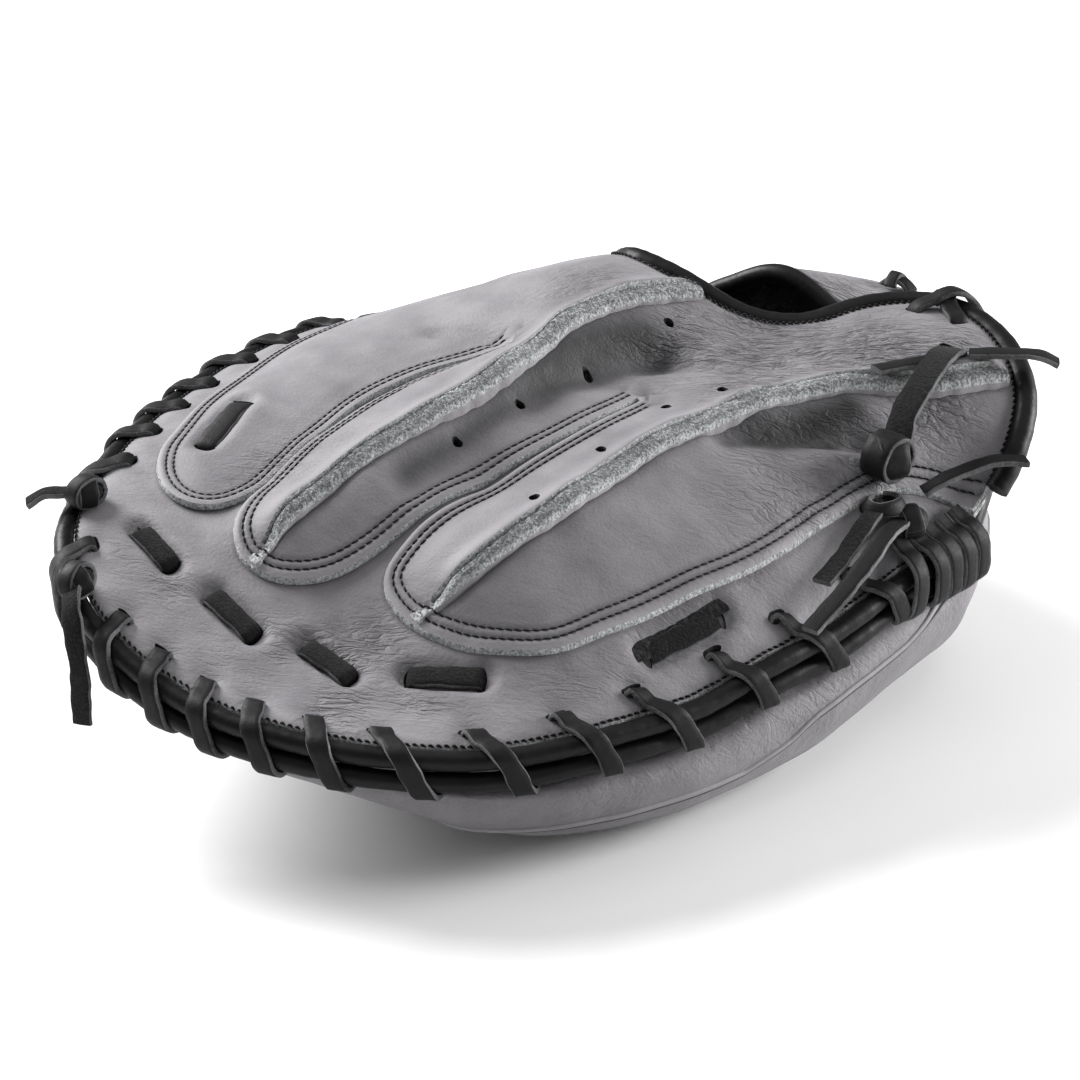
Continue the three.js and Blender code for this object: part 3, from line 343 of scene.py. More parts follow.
class Form:
    """Gathers faces in millimetres, then makes one object of them."""

    def __init__(self):
        self.points, self.faces, self.paints, self.marks, self.count = [], [], [], [], 0

    def add(self, points, faces, paint=0, **marks):
        points = np.asarray(points, float).reshape(-1, 3)
        faces = np.asarray(faces, int)
        self.points.append(points)
        self.faces.append(faces + self.count)
        self.paints.append(np.broadcast_to(paint, len(faces)))
        self.marks.append({k: np.broadcast_to(np.asarray(v, float), len(points)) for k, v in marks.items()})
        self.count += len(points)

    def close(self, ring, paint=0, flip=False):
        """Triangles round the middle of a ring of points."""
        n = len(ring)
        fan = np.stack([np.arange(n), (np.arange(n) + 1) % n, np.full(n, n)], 1)
        self.add(np.vstack([ring, ring.mean(0)]), fan[:, ::-1] if flip else fan, paint)

    def make(self, name, paints, stands_for=()):
        mesh = bpy.data.meshes.new(name)
        points = metres(np.vstack(self.points))
        loops = np.concatenate([f.reshape(-1) for f in self.faces])
        totals = np.concatenate([np.full(len(f), f.shape[1]) for f in self.faces])
        mesh.vertices.add(len(points))
        mesh.vertices.foreach_set("co", points.astype(np.float32).reshape(-1))
        mesh.loops.add(len(loops))
        mesh.loops.foreach_set("vertex_index", loops.astype(np.int32))
        mesh.polygons.add(len(totals))
        mesh.polygons.foreach_set("loop_start", np.r_[0, np.cumsum(totals)[:-1]].astype(np.int32))
        mesh.polygons.foreach_set("loop_total", totals.astype(np.int32))
        for material in paints:
            mesh.materials.append(material)
        mesh.polygons.foreach_set("material_index", np.concatenate(self.paints).astype(np.int32))
        mesh.polygons.foreach_set("use_smooth", np.full(len(totals), True))
        for key in sorted({k for m in self.marks for k in m}):
            layer = mesh.attributes.new(key, "FLOAT", "POINT")
            values = [m.get(key, np.zeros(len(p))) for m, p in zip(self.marks, self.points)]
            layer.data.foreach_set("value", np.concatenate(values).astype(np.float32))
        mesh.update(calc_edges=True)
        mesh.validate()
        thing = placed(name, mesh)
        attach(thing, "root")
        if stands_for:
            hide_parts(*stands_for)
        return thing


def grid(rows, columns, wrap_rows=False, wrap_columns=False, flip=False):
    """The quads between rows of points."""
    r = np.arange(rows if wrap_rows else rows - 1)
    c = np.arange(columns if wrap_columns else columns - 1)
    r, c = [k.reshape(-1) for k in np.meshgrid(r, c, indexing="ij")]
    r2, c2 = (r + 1) % rows, (c + 1) % columns
    quads = np.stack([r * columns + c, r * columns + c2, r2 * columns + c2, r2 * columns + c], 1)
    return quads[:, ::-1] if flip else quads


def sweep(form, path, side, over, section, paint=0, **marks):
    """Carries a section of (across, above) rows along a path and closes its ends. There is one section
    for each station, and paint may be one for each section row."""
    n, m = section.shape[:2]
    points = path[:, None] + section[..., :1] * side[:, None] + section[..., 1:] * over[:, None]
    paints = np.tile(np.broadcast_to(paint, m), n - 1)
    form.add(points, grid(n, m, wrap_columns=True), paints, **marks)
    form.close(points[0], np.max(paint), flip=True)
    form.close(points[-1], np.max(paint))


def frames(path, facing):
    """Side and upward directions for a strip along path whose broad face looks along facing."""
    along = unit(np.gradient(path, axis=0))
    side = unit(np.cross(along, np.broadcast_to(facing, path.shape)))
    return side, np.cross(side, along)


def circle(sides):
    angle = np.linspace(0, 2 * math.pi, sides, endpoint=False)
    return np.column_stack([np.cos(angle), np.sin(angle)])


def tube(form, path, radius, sides, **marks):
    side, over = frames(path, UPWARD)
    radius = np.broadcast_to(radius, len(path))[:, None, None]
    sweep(form, path, side, over, circle(sides) * radius, **marks)


# A lace's section: the broad faces slightly cupped, the corners crisp. The paints are 0 for the
# smooth side, 1 for the flesh side and 2 for the cut edges.
def lace_section(width, thick, cup):
    w, t, corner = width / 2, thick / 2, width / 2 - 0.22
    rows = [
        (w, -t * 0.55), (w, t * 0.55), (corner, t), (w * 0.45, t + cup), (0, t + cup * 1.2),
        (-w * 0.45, t + cup), (-corner, t), (-w, t * 0.55), (-w, -t * 0.55), (-corner, -t),
        (-w * 0.45, -t), (0, -t), (w * 0.45, -t), (corner, -t),
    ]
    paints = [2, 2, 0, 0, 0, 0, 2, 2, 2, 1, 1, 1, 1, 2]
    return np.array(rows), np.array(paints)


def lace(form, path, facing, width=LACE_WIDTH, thick=LACE_THICK, seed=1, step=0.9, flesh=False, cup=0.12):
    """A flat lace through path rows x, y, z. facing is one direction or one for each row, and flesh
    says that the rough side faces it."""
    path = np.asarray(path, float)
    facing = np.broadcast_to(np.asarray(facing, float), path.shape)
    both = evenly(curve(np.column_stack([path, facing]), 14), step)
    line, face = both[:, :3], unit(both[:, 3:])
    side, over = frames(line, face)
    section, paints = lace_section(width, thick, cup)
    if flesh:
        paints = np.choose(paints, [1, 0, 2])
    n = len(line)
    shape = np.broadcast_to(section, (n, *section.shape)).copy()
    long = np.arange(n) * step
    nick = 0.16 * np.sin(long / 3.1 + seed) + 0.1 * np.sin(long / 1.3 + 2 * seed)
    nick = nick + np.convolve(np.random.RandomState(seed).normal(0, 0.1, n), [0.25, 0.5, 0.25], "same")
    shape[:, section[:, 0] > width * 0.3, 0] += nick[:, None]
    shape[:, section[:, 0] < -width * 0.3, 0] += np.roll(nick, 5)[:, None]
    sweep(form, line, side, over, shape, paints)


def strip(name, node, path, facing, *more, **how):
    """A lace as a piece of its own."""
    form = Form()
    lace(form, path, facing, *more, **how)
    form.make(name, LACES, [node])


# A stitch: length along it, height, and thickness, as shares
STITCH = np.array([
    (0, -1.2, 0.7), (0.12, -0.2, 0.9), (0.3, 0.75, 1.0), (0.5, 1.0, 1.05), (0.7, 0.75, 1.0),
    (0.88, -0.2, 0.9), (1.0, -1.2, 0.7),
])


def stitches(form, line, lift, pitch, share, radius, skew):
    """A row of stitches along a line of x, y, z; each dips into the leather at its ends."""
    line = evenly(line, 0.5)
    long = lengths(line)
    normal = up_of(line[:, :2])
    count = int(long[-1] / pitch)
    t, rise, slim = STITCH.T
    starts = (np.arange(count) + 0.5 * (1 - share)) * pitch
    at = starts[:, None] + t[None] * pitch * share
    p = np.stack([np.interp(at, long, line[:, k]) for k in range(3)], -1)
    up = unit(np.stack([np.interp(at, long, normal[:, k]) for k in range(3)], -1))
    side = unit(np.cross(unit(np.gradient(p, axis=1)), up))
    p = p + up * (lift + radius * 0.9 * rise[None, :, None]) + side * (skew * (t - 0.5))[None, :, None]
    ring = radius * circle(6)
    round_it = ring[:, 0, None] * side[:, :, None] + ring[:, 1, None] * up[:, :, None]
    points = p[:, :, None] + round_it * slim[None, :, None, None]
    block = grid(len(t), 6, wrap_columns=True)
    quads = block[None] + (np.arange(count) * len(t) * 6)[:, None, None]
    form.add(points, quads.reshape(-1, 4))


def fuzz(form, roots, length, seed, width, paint):
    """Loose fibres standing up from a cut edge."""
    chance = np.random.RandomState(seed)
    n = len(roots)
    way = unit(UPWARD + chance.normal(0, 0.55, (n, 3)))
    across = unit(np.cross(way, chance.normal(size=(n, 3))))
    size = length * chance.uniform(0.35, 1.0, (n, 1))
    curl = chance.normal(0, 0.3, (n, 3)) * size
    base = roots - way * 0.15
    points = np.stack([
        base - across * width,
        base + across * width,
        base + way * size * 0.6 + curl * 0.4 + across * width * 0.6,
        base + way * size + curl,
    ], 1)
    k = np.arange(n)[:, None] * 4
    form.add(points, np.vstack([k + [0, 1, 2], k + [0, 2, 3]]), paint)


# Materials


def toned(colour, share):
    return tuple(c * share for c in colour)


class Paint:
    """A material of procedural nodes, with short ways to add them."""

    def __init__(self, name):
        self.made = bpy.data.materials.new(name)
        self.made.use_nodes = True
        self.tree = self.made.node_tree
        self.tree.nodes.clear()
        out = self.tree.nodes.new("ShaderNodeOutputMaterial")
        self.skin = self.tree.nodes.new("ShaderNodeBsdfPrincipled")
        self.tree.links.new(self.skin.outputs[0], out.inputs[0])
        self.place = self.node("TexCoord").outputs["Object"]

    def feed(self, socket, value):
        if isinstance(value, bpy.types.NodeSocket):
            self.tree.links.new(value, socket)
        else:
            socket.default_value = value

    def node(self, kind, inputs=(), **settings):
        new = self.tree.nodes.new("ShaderNode" + kind)
        for key, value in settings.items():
            setattr(new, key, value)
        for key, value in dict(inputs).items():
            self.feed(new.inputs[key], value)
        return new

    def mix(self, share, a, b):
        a, b = [(*c, 1) if isinstance(c, tuple) else c for c in (a, b)]
        return self.node("Mix", {0: share, 6: a, 7: b}, data_type="RGBA").outputs[2]

    def maths(self, kind, *values):
        return self.node("Math", enumerate(values), operation=kind).outputs[0]

    def times(self, a, b):
        return self.maths("MULTIPLY", a, b)

    def spread(self, value, low, high, to_low=0.0, to_high=1.0):
        ends = {"Value": value, "From Min": low, "From Max": high, "To Min": to_low, "To Max": to_high}
        return self.node("MapRange", ends).outputs[0]

    def mark(self, key):
        return self.node("Attribute", attribute_name=key).outputs["Fac"]

    def noise(self, scale, detail, rough, place=None, distortion=0.0):
        values = {"Scale": scale, "Detail": detail, "Roughness": rough, "Distortion": distortion}
        return self.node("TexNoise", {"Vector": place or self.place, **values}).outputs["Fac"]

    def cells(self, scale):
        return self.node("TexVoronoi", {"Vector": self.place, "Scale": scale}).outputs["Distance"]

    def turned(self, angle, scale):
        """The place, turned by degrees and stretched."""
        values = {"Rotation": (0, 0, math.radians(angle)), "Scale": tuple(1 / v for v in scale)}
        return self.node("Mapping", {"Vector": self.place, **values}, vector_type="TEXTURE").outputs[0]

    def bump(self, height, distance, strength, under=None):
        values = {"Height": height, "Distance": distance, "Strength": strength}
        if under is not None:
            values["Normal"] = under
        return self.node("Bump", values).outputs["Normal"]

    def done(self, **values):
        for key, value in values.items():
            self.feed(self.skin.inputs[key.replace("_", " ")], value)
        return self.made


# Creases: direction, scale along, across and in depth, sharpness and wander
CREASES = [(50, (105, 350, 200), 5.0, 0.45), (62, (180, 600, 400), 4.0, 0.4)]
# Marks of the mesh: strength, and the tone that they lead to. They paint light and shade into the leather's
# colour:
# the lighter tone stands for wear and for painted highlight, the darker ones for painted shade in recesses,
# gaps and folds.
MARKED = [("worn", 0.7, "light", 1.42), ("dirt", 0.9, "dark", 0.13), ("shade", 0.97, "dark", 0.07)]


def leather_paint(name, light, dark):
    k = Paint(name)
    cloud = k.noise(90, 3, 0.55)
    share = k.maths("MULTIPLY_ADD", cloud, 0.5, k.times(k.noise(22, 3, 0.5), 0.5))
    colour = k.mix(k.spread(share, 0.36, 0.62), dark, light)
    fleck = k.spread(k.noise(2300, 2, 0.6), 0.42, 0.66, 0.0, 0.3)
    colour = k.mix(fleck, colour, toned(dark, 0.6))
    # Paints wear, painted highlight and painted shade from the marks into the colour
    for key, strength, tone, share in MARKED:
        tone = toned(light if tone == "light" else dark, share)
        colour = k.mix(k.times(k.mark(key), strength), colour, tone)
    patch = k.spread(k.noise(55, 2, 0.5), 0.35, 0.6)
    mask = k.times(k.mark("crease"), k.spread(patch, 0.0, 1.0, 0.45, 1.0))
    fine = []
    for angle, scale, power, wander in CREASES:
        field = k.noise(1.0, 3, 0.5, k.turned(angle, scale), wander)
        ridge = k.maths("SUBTRACT", 1.0, k.maths("ABSOLUTE", k.maths("MULTIPLY_ADD", field, 2.0, -1.0)))
        fine.append(k.maths("POWER", ridge, power))
    valley = k.times(k.maths("MAXIMUM", fine[0], k.times(fine[1], 0.6)), mask)
    # Painted shade in the valleys of the creases
    colour = k.mix(k.times(valley, 0.62), colour, toned(dark, 0.22))
    hair = k.noise(1.0, 3, 0.6, k.turned(55, (520, 900, 700)))
    fold = k.noise(1.0, 3, 0.5, k.turned(35, (40, 110, 90)), 0.6)
    normal = k.bump(k.cells(1100.0), 0.0003, 0.22)
    normal = k.bump(hair, 0.0005, 0.17, normal)
    normal = k.bump(fold, 0.003, 0.16, normal)
    normal = k.bump(k.maths("SUBTRACT", 1.0, valley), 0.0018, 0.9, normal)
    return k.done(
        Base_Color=colour, Roughness=k.spread(cloud, 0.2, 0.8, 0.54, 0.68), Normal=normal,
        Specular_IOR_Level=0.34, Sheen_Weight=0.04, Sheen_Roughness=0.5,
    )


def suede_paint(name, light, dark):
    k = Paint(name)
    tuft = k.noise(1150, 4, 0.7)
    share = k.maths("ADD", k.spread(tuft, 0.36, 0.62, 0.0, 0.75), k.times(k.noise(240, 2, 0.5), 0.4))
    # The middle of a welt is painted darker the deeper it lies in the gap between its two leathers: painted
    # shade
    share = k.maths("SUBTRACT", share, k.times(k.mark("core"), 0.42))
    normal = k.bump(tuft, 0.0007, 0.9, k.bump(k.cells(1300.0), 0.00049, 0.5))
    return k.done(
        Base_Color=k.mix(k.spread(share, 0.12, 0.95), dark, light), Roughness=0.95, Normal=normal,
        Specular_IOR_Level=0.15, Sheen_Weight=0.12, Sheen_Roughness=0.6,
    )


def black_paint(name, light, dark, rough, grain, scale=700.0):
    k = Paint(name)
    fine = k.noise(scale, 4, 0.6)
    share = k.maths("ADD", k.noise(60, 3, 0.55), k.times(fine, 0.5))
    normal = k.bump(k.noise(130, 2, 0.5), 0.0016, grain * 0.5, k.bump(fine, 0.0004, grain))
    return k.done(
        Base_Color=k.mix(k.spread(share, 0.55, 0.95), dark, light), Normal=normal,
        Roughness=k.spread(fine, 0.25, 0.75, rough - 0.08, rough + 0.1), Specular_IOR_Level=0.17,
    )


def fuzzy_paint(name, light, dark, scale):
    k = Paint(name)
    tuft = k.noise(scale, 4, 0.75)
    share = k.maths("ADD", k.spread(tuft, 0.45, 0.72), k.times(k.noise(180, 2, 0.5), 0.3))
    return k.done(
        Base_Color=k.mix(k.spread(share, 0.1, 1.2), dark, light), Roughness=0.97,
        Normal=k.bump(tuft, 0.0011, 1.0), Specular_IOR_Level=0.1, Sheen_Weight=0.08, Sheen_Roughness=0.6,
    )


GREY = leather_paint("grey_leather", (0.245, 0.236, 0.249), (0.18, 0.171, 0.184))
SUEDE = suede_paint("grey_raw_edge", (0.6, 0.615, 0.62), (0.13, 0.135, 0.138))
ROLL = black_paint("black_roll", (0.008, 0.0078, 0.0084), (0.004, 0.004, 0.0043), 0.42, 0.25)
SMOOTH = black_paint("lace_smooth", (0.011, 0.0107, 0.0116), (0.005, 0.005, 0.0054), 0.56, 0.3)
FLESH = fuzzy_paint("lace_flesh", (0.022, 0.022, 0.024), (0.003, 0.003, 0.0034), 1100.0)
CUT = black_paint("lace_cut_edge", (0.17, 0.17, 0.174), (0.03, 0.03, 0.032), 0.85, 0.5, 1400.0)
THREAD = black_paint("black_thread", (0.014, 0.014, 0.015), (0.005, 0.005, 0.005), 0.6, 0.3, 2600.0)
LINING = fuzzy_paint("black_lining", (0.05, 0.05, 0.052), (0.004, 0.004, 0.005), 420.0)
LACES = [SMOOTH, FLESH, CUT]
SHEETS = [GREY, SUEDE, LINING]
TOP, RAW, UNDER = range(3)  # paints in SHEETS

# Leather sheets of the back

outer = curve(EDGE[:, :2], 16, True)
lobes = [evenly(curve(rows, 14), 1.1, 2) for rows in (PINKY_LOBE, MIDDLE_LOBE, THUMB_LOBE)]
lobe_line = np.vstack(lobes)
behind = np.array([(105.0, -220.0), (-120.0, -220.0), (-120.0, -124.0)])
lobe_area = np.vstack([lobe_line, behind])
band_inner = np.vstack([evenly(inset(line, 6.0), 2.2, 2) for line in lobes])
welts = [
    evenly(curve([head, *line], 10), 1.0, 2)
    for head, line in (((-5.6, 80.6), INDEX_WELT), ((-46.3, 52.9), RING_WELT))
]

# Stations of the rim lace's holes; it starts and ends under the leather.
LACE_HOLES = np.array([
    1.6, 2.6, 3.55, 4.5, 5.6, 6.6, 7.5, 8.5, 9.5, 10.55, 11.6, 14.3, 16.39, 17.41, 18.36, 19.23, 20.22,
    21.21, 22.62, 23.98, 25.17, 26.45, 27.48, 28.85, 30.1,
])
slot_stations = LACE_HOLES[1:-1]

# Short laces: both ends in plan, how high the leather lies over the band there, half the length of the
# holes, and how many of DASH_STEPS are left out at either end. The first lies on the thumb's panel.
DASHES = [
    (48, 64, 61, 43, PANEL_LIFT, 3.5, 0), (24, 100, 9, 99, 0, 3.5, 0), (-6, 94, -22, 91, 0, 3.5, 0),
    (-33, 80, -48, 76, 0, 3.5, 0), (-57, 61.6, -69.5, 46.5, 0, 3.5, 0), (-86.4, 2, -86.6, -23, -1.1, 2.6, 2),
]


def oval(centre, way, long, short, seed, count=18):
    """A ragged oval hole: long along way, short across it."""
    angle = np.linspace(0, 2 * math.pi, count, endpoint=False)
    way = unit(np.asarray(way, float))
    across = np.array([-way[1], way[0]])
    rag = 1 + 0.05 * np.sin(3 * angle + seed) + 0.04 * np.sin(5 * angle + 2 * seed)
    along, out = np.cos(angle) * long * rag, np.sin(angle) * short * rag
    return centre + along[:, None] * way + out[:, None] * across


slot_plan, slot_way = rim_plan(slot_stations)
slot_centres = slot_plan - SLOT_IN * right_of(slot_way)
slot_holes = [oval(c, w, 3.1, 1.35, seed=k) for k, (c, w) in enumerate(zip(slot_centres, slot_way))]
long, short = HOLE_RADIUS * 1.05, HOLE_RADIUS * 0.9
punched = [oval(np.array(c, float), (1, 0.4), long, short, k, 14) for k, c in enumerate(PANEL_HOLES)]
dash_holes = []
for number, (x, y, x2, y2, _, half, _) in enumerate(DASHES):
    way = unit(np.array([x2 - x, y2 - y], float))
    for end, sign in (((x, y), 1), ((x2, y2), -1)):
        centre = np.array(end, float) - sign * way * 0.3
        dash_holes.append(oval(centre, (-way[1], way[0]), half, 1.5, seed=number))
wrist_holes = [
    oval(np.array([-52.5, -136.5]), (0.8, 0.35), 4.6, 1.7, seed=3),
    oval(np.array([-27.1, -142.4]), (0.95, 0.1), 3.2, 1.5, seed=4),
    oval(np.array([-41.6, -148.1]), (0.2, 0.9), 3.2, 1.4, seed=5),
]
band_holes = slot_holes + punched + wrist_holes + dash_holes
panel_holes = punched + wrist_holes + dash_holes[:2]


def plan_sheet(loops, region, pitch, edge_lines):
    """Triangles over a plan region: loops are outlines that edges follow, edge_lines have rows of
    points at offsets along them, and region says which points belong."""
    gx = np.arange(-125.0, 135.0, pitch)
    gy = np.arange(-170.0, 130.0, pitch * 0.866)
    x, y = np.meshgrid(gx, gy)
    x = x + (np.arange(len(gy)) % 2)[:, None] * pitch / 2
    free = np.column_stack([x.reshape(-1), y.reshape(-1)])
    free = free[region(free)]
    extra = []
    for line, closed, offsets in edge_lines:
        free = free[nearest(free, line, closed)[0] > max(offsets) + pitch * 0.5]
        base = np.vstack([line, line[:1]]) if closed else line
        for offset in offsets:
            for sign in (1, -1):
                moved = evenly(inset(evenly(base, 0.7, 2), offset * sign), 1.15, 2)
                moved = moved[np.abs(nearest(moved, line, closed)[0] - offset) < 0.05]
                extra.append(moved[region(moved)])
    extra = np.vstack(extra)
    extra = extra[np.lexsort((extra[:, 1], extra[:, 0]))]
    kept = np.ones(len(extra), bool)
    for i in range(len(extra)):
        j = i + 1
        while kept[i] and j < len(extra) and extra[j, 0] - extra[i, 0] < 0.3:
            if abs(extra[j, 1] - extra[i, 1]) < 0.3:
                kept[j] = False
            j += 1
    points = [free, extra[kept]]
    start = len(free) + kept.sum()
    edges = []
    for line, closed in loops:
        points.append(line)
        k = np.arange(len(line) - (0 if closed else 1)) + start
        after = np.where(k + 1 == start + len(line), start, k + 1)
        edges += list(zip(k.tolist(), after.tolist()))
        start += len(line)
    every = [Vector(p) for p in np.vstack(points).tolist()]
    found = geometry.delaunay_2d_cdt(every, edges, [], 0, 1e-4)
    flat = np.array([tuple(v) for v in found[0]])
    faces = np.array([f for f in found[2] if len(f) == 3])
    a, b, c = flat[faces[:, 0]], flat[faces[:, 1]], flat[faces[:, 2]]
    area = (b[:, 0] - a[:, 0]) * (c[:, 1] - a[:, 1]) - (b[:, 1] - a[:, 1]) * (c[:, 0] - a[:, 0])
    faces[area < 0] = faces[area < 0][:, ::-1]
    return flat, faces[region((a + b + c) / 3) & (np.abs(area) > 1e-6)]


def trim(flat, faces):
    used = np.unique(faces)
    new = np.full(len(flat), -1)
    new[used] = np.arange(len(used))
    return flat[used], new[faces]


def border(faces):
    """Directed edges that only one triangle has."""
    edges = np.vstack([faces[:, [0, 1]], faces[:, [1, 2]], faces[:, [2, 0]]])
    key = edges[:, 0].astype(np.int64) * 10_000_000 + edges[:, 1]
    back = edges[:, 1].astype(np.int64) * 10_000_000 + edges[:, 0]
    return edges[~np.isin(key, back)]


# The wall of an edge: share of the thickness, and how far it stands proud
WALL = [(0.0, -0.004), (0.16, 0.12), (0.42, 0.2), (0.72, 0.18), (1.0, 0.04)]


def leather_sheet(name, node, flat, faces, top, bottom, marks, edge_lines):
    """Top and bottom faces over a plan triangulation, with a rough wall round every edge. Where the
    edge is none of edge_lines (line, closed, reach), it is a hole's, and its wall gets the dark lining as
    painted shade in the hole."""
    form = Form()
    upper = np.column_stack([flat, top])
    lower = np.column_stack([flat, bottom])
    form.add(upper, faces, TOP, **marks)
    form.add(lower, faces[:, ::-1], UNDER)
    edges = border(faces)
    out = np.zeros((len(flat), 2))
    away = right_of(unit(flat[edges[:, 1]] - flat[edges[:, 0]]))
    for column in (0, 1):
        np.add.at(out, edges[:, column], away)
    out = unit(out)
    verts = np.unique(edges)
    m = len(verts)
    new = np.full(len(flat), -1)
    new[verts] = np.arange(m)
    chance = np.random.RandomState(7)
    rows = []
    for level, proud in WALL:
        ragged = proud + (chance.normal(0, 0.12, m) if 0 < level < 1 else 0)
        z = upper[verts, 2] * (1 - level) + lower[verts, 2] * level
        rows.append(np.column_stack([flat[verts] + out[verts] * np.reshape(ragged, (-1, 1)), z]))
    a, b = new[edges[:, 0]], new[edges[:, 1]]
    quads = [
        np.stack([a + r * m, a + (r + 1) * m, b + (r + 1) * m, b + r * m], 1) for r in range(len(WALL) - 1)
    ]
    at = flat[edges[:, 0]]
    # The walls of holes take the dark lining paint: painted shade in the holes
    hole = np.all([nearest(at, line, closed)[0] > reach for line, closed, reach in edge_lines], axis=0)
    form.add(np.vstack(rows), np.vstack(quads), np.tile(np.where(hole, UNDER, RAW), len(quads)))
    form.make(name, SHEETS, [node])


def spot(p, centre, radius):
    return hump(np.linalg.norm(p - centre, axis=1), radius)


def beside(p, line, first, last):
    """Distance and side of points from a drawn line, their length along it, its whole length, and a
    fade over first and last at its ends."""
    line = evenly(curve(line, 8), 1.5, 2)
    away, along, side = nearest(p, line)
    whole = lengths(line)[-1]
    return away, side, along, whole, smooth(0, first, along) * (1 - smooth(whole - last, whole, along))


# Creased areas of the panels: centre, radius across and along, strength
CREASE_SPOTS = [
    (-16, -98, 26, 22, 1.0), (-42, -120, 24, 18, 0.9), (-8, -74, 18, 16, 0.7), (-66, -74, 16, 30, 0.45),
    (-30, -80, 22, 20, 0.6), (22, 48, 14, 20, 0.35), (30, -60, 22, 18, 0.3), (-50, -142, 12, 8, 0.9),
]
CREASE_TURN = np.array([[0.574, -0.819], [0.819, 0.574]])
# Folds of the panels: plan line, depth at both ends, width on its left and on its right
FOLDS = [
    ([(-10.5, 40), (-9, 30), (-8, 18), (-4.2, -1), (-1.2, -26), (1, -48), (-1.5, -64), (-5, -76)],
     2.6, 5.6, 3.6, 8.0),
    ([(-47.5, -46), (-49, -58), (-51.5, -68), (-54, -77), (-57, -85), (-61, -95), (-65, -104)],
     3.5, 6.4, 3.6, 5.2),
    ([(62, -17), (59.5, -20), (51.3, -24.6), (41.6, -29), (29.3, -31.7), (24, -32)], 1.8, 1.2, 3.4, 2.0),
]
# Deep shades in the folds: plan line, half width, strength, fade at the first end and at the last
SHADES = [
    ([(-7, 14), (-3, -8), (1, -27), (4.5, -43), (5.5, -55), (3.5, -67), (-0.5, -78)], 7.4, 0.97, 44, 16),
    ([(-47.5, -50), (-49.6, -62), (-52, -74), (-53.2, -86), (-54, -96), (-56, -105)], 5.8, 1.0, 14, 10),
    ([(-55.5, -72), (-57.2, -79), (-58.2, -87), (-58.4, -93)], 1.9, 1.0, 6, 6),
]
# Creases of the rim band: centre, radius and strength
CRUMPLES = [(-43, 70, 12, 0.7), (-58, 84, 9, 0.75), (-30, 84, 8, 0.4), (-66, 66, 9, 0.5), (2, 104, 9, 0.35)]


def creased(p):
    total = np.zeros(len(p))
    for x, y, rx, ry, strength in CREASE_SPOTS:
        near = np.exp(-(((p[:, 0] - x) / rx) ** 2) - ((p[:, 1] - y) / ry) ** 2)
        total = np.maximum(total, strength * near)
    return np.clip(total * 1.25, 0, 1)


def shaded(p):
    total = np.zeros(len(p))
    for line, half, strength, first, last in SHADES:
        away, _, _, _, end = beside(p, line, first, last)
        total = np.maximum(total, strength * hump(away, half) * end)
    return total


def folded(p):
    """How far the folds lower the panels, and how much painted shade darkens them."""
    down, dark = np.zeros(len(p)), np.zeros(len(p))
    for line, first, last, left, right in FOLDS:
        away, side, along, whole, end = beside(p, line, 9, 12)
        depth = first + (last - first) * smooth(0, whole * 0.7, along)
        down = np.maximum(down, depth * np.where(side > 0, hump(away, left), hump(away, right)) * end)
        tone = np.where(side > 0, hump(away, left * 0.9), hump(away, right * 0.6))
        dark = np.maximum(dark, tone * end * min(1, last / 4))
    # A broad patch of painted shade on the thumb panel
    dark = np.maximum(dark, 0.3 * spot(p, [27, -52], 17))
    bulge = 1.8 * hump(np.linalg.norm((p - [50, -38]) / [1.6, 1.0], axis=1), 11)
    return down - bulge, dark


def crumpled(p, rim_away):
    total = 0.12 * hump(rim_away - 12, 10)
    for x, y, radius, strength in CRUMPLES:
        total = np.maximum(total, strength * spot(p, [x, y], radius))
    return total


def panel_top(p):
    """Top face of the finger panels, and its marks."""
    edge = nearest(p, lobe_line)[0]
    z = band(p) + PANEL_LIFT
    first, second = SEAM_ROWS
    groove = hump(edge - first, 0.42) + hump(edge - second, 0.42)
    z = z - 0.3 * hump(edge, 0.5) - 0.4 * groove + 0.22 * hump(edge - 3.6, 0.6) + 0.15 * hump(edge - 1.2, 0.7)
    z = z + 0.9 * smooth(5.0, 12.0, edge)
    # Painted shade in the two stitch grooves; the raw edge is painted lighter, as wear and as painted
    # highlight
    dirt = 0.75 * groove
    worn = 0.8 * hump(edge, 1.0)
    for welt in welts:
        away, along, side = nearest(p, welt)
        grown = smooth(WELT_HEAD, 16, along)
        thumb = side > 0
        gap = away - WELT_HALF
        z = z + np.where(thumb, 2.5 * hump(gap, 3.2) * grown, 0)
        z = z - np.where(thumb, 0, 0.9 * hump(gap, 1.6) * grown)
        # Painted shadow beside the welt on the pinky side and a thin line of it on the thumb side; the raised
        # thumb side is painted lighter as painted highlight
        dirt = dirt + np.where(thumb, 0.25 * hump(gap, 0.4), 0.9 * hump(gap, 0.9)) * grown
        worn = worn + np.where(thumb, 0.35 * hump(away - 6, 3.5), 0) * grown
    z = z + 0.42 * waves(p, 16, 11) * smooth(4, 14, edge) + 0.16 * waves(p, 6, 12) * smooth(4, 10, edge)
    down, dark = folded(p)
    z = z - down
    away = nearest(p, np.array([DASHES[0][:2], DASHES[0][2:4]], float))[0]
    z = z - 1.7 * (1 - smooth(2.4, 5.2, away)) + 0.35 * hump(away - 6.5, 2.4)
    folds = creased(p)
    z = z + folds * 0.42 * waves(p @ CREASE_TURN * [0.3, 1.0], 4.0, 13)
    for hole in PANEL_HOLES:
        z = z - 0.5 * spot(p, hole, 3.0)
    rim_away, along, _ = nearest(p, outer, True)
    z = z - 0.35 * hump(rim_away - 0.8, 1.0)
    z = z + 0.12 * np.cos(along * 2 * math.pi / 2.1) * hump(rim_away - 0.3, 0.8)
    # Painted shade in the folds and the deep valleys
    shade = np.maximum(0.7 * dark, shaded(p))
    return z, {"dirt": np.clip(dirt, 0, 1), "worn": np.clip(worn, 0, 1), "crease": folds, "shade": shade}


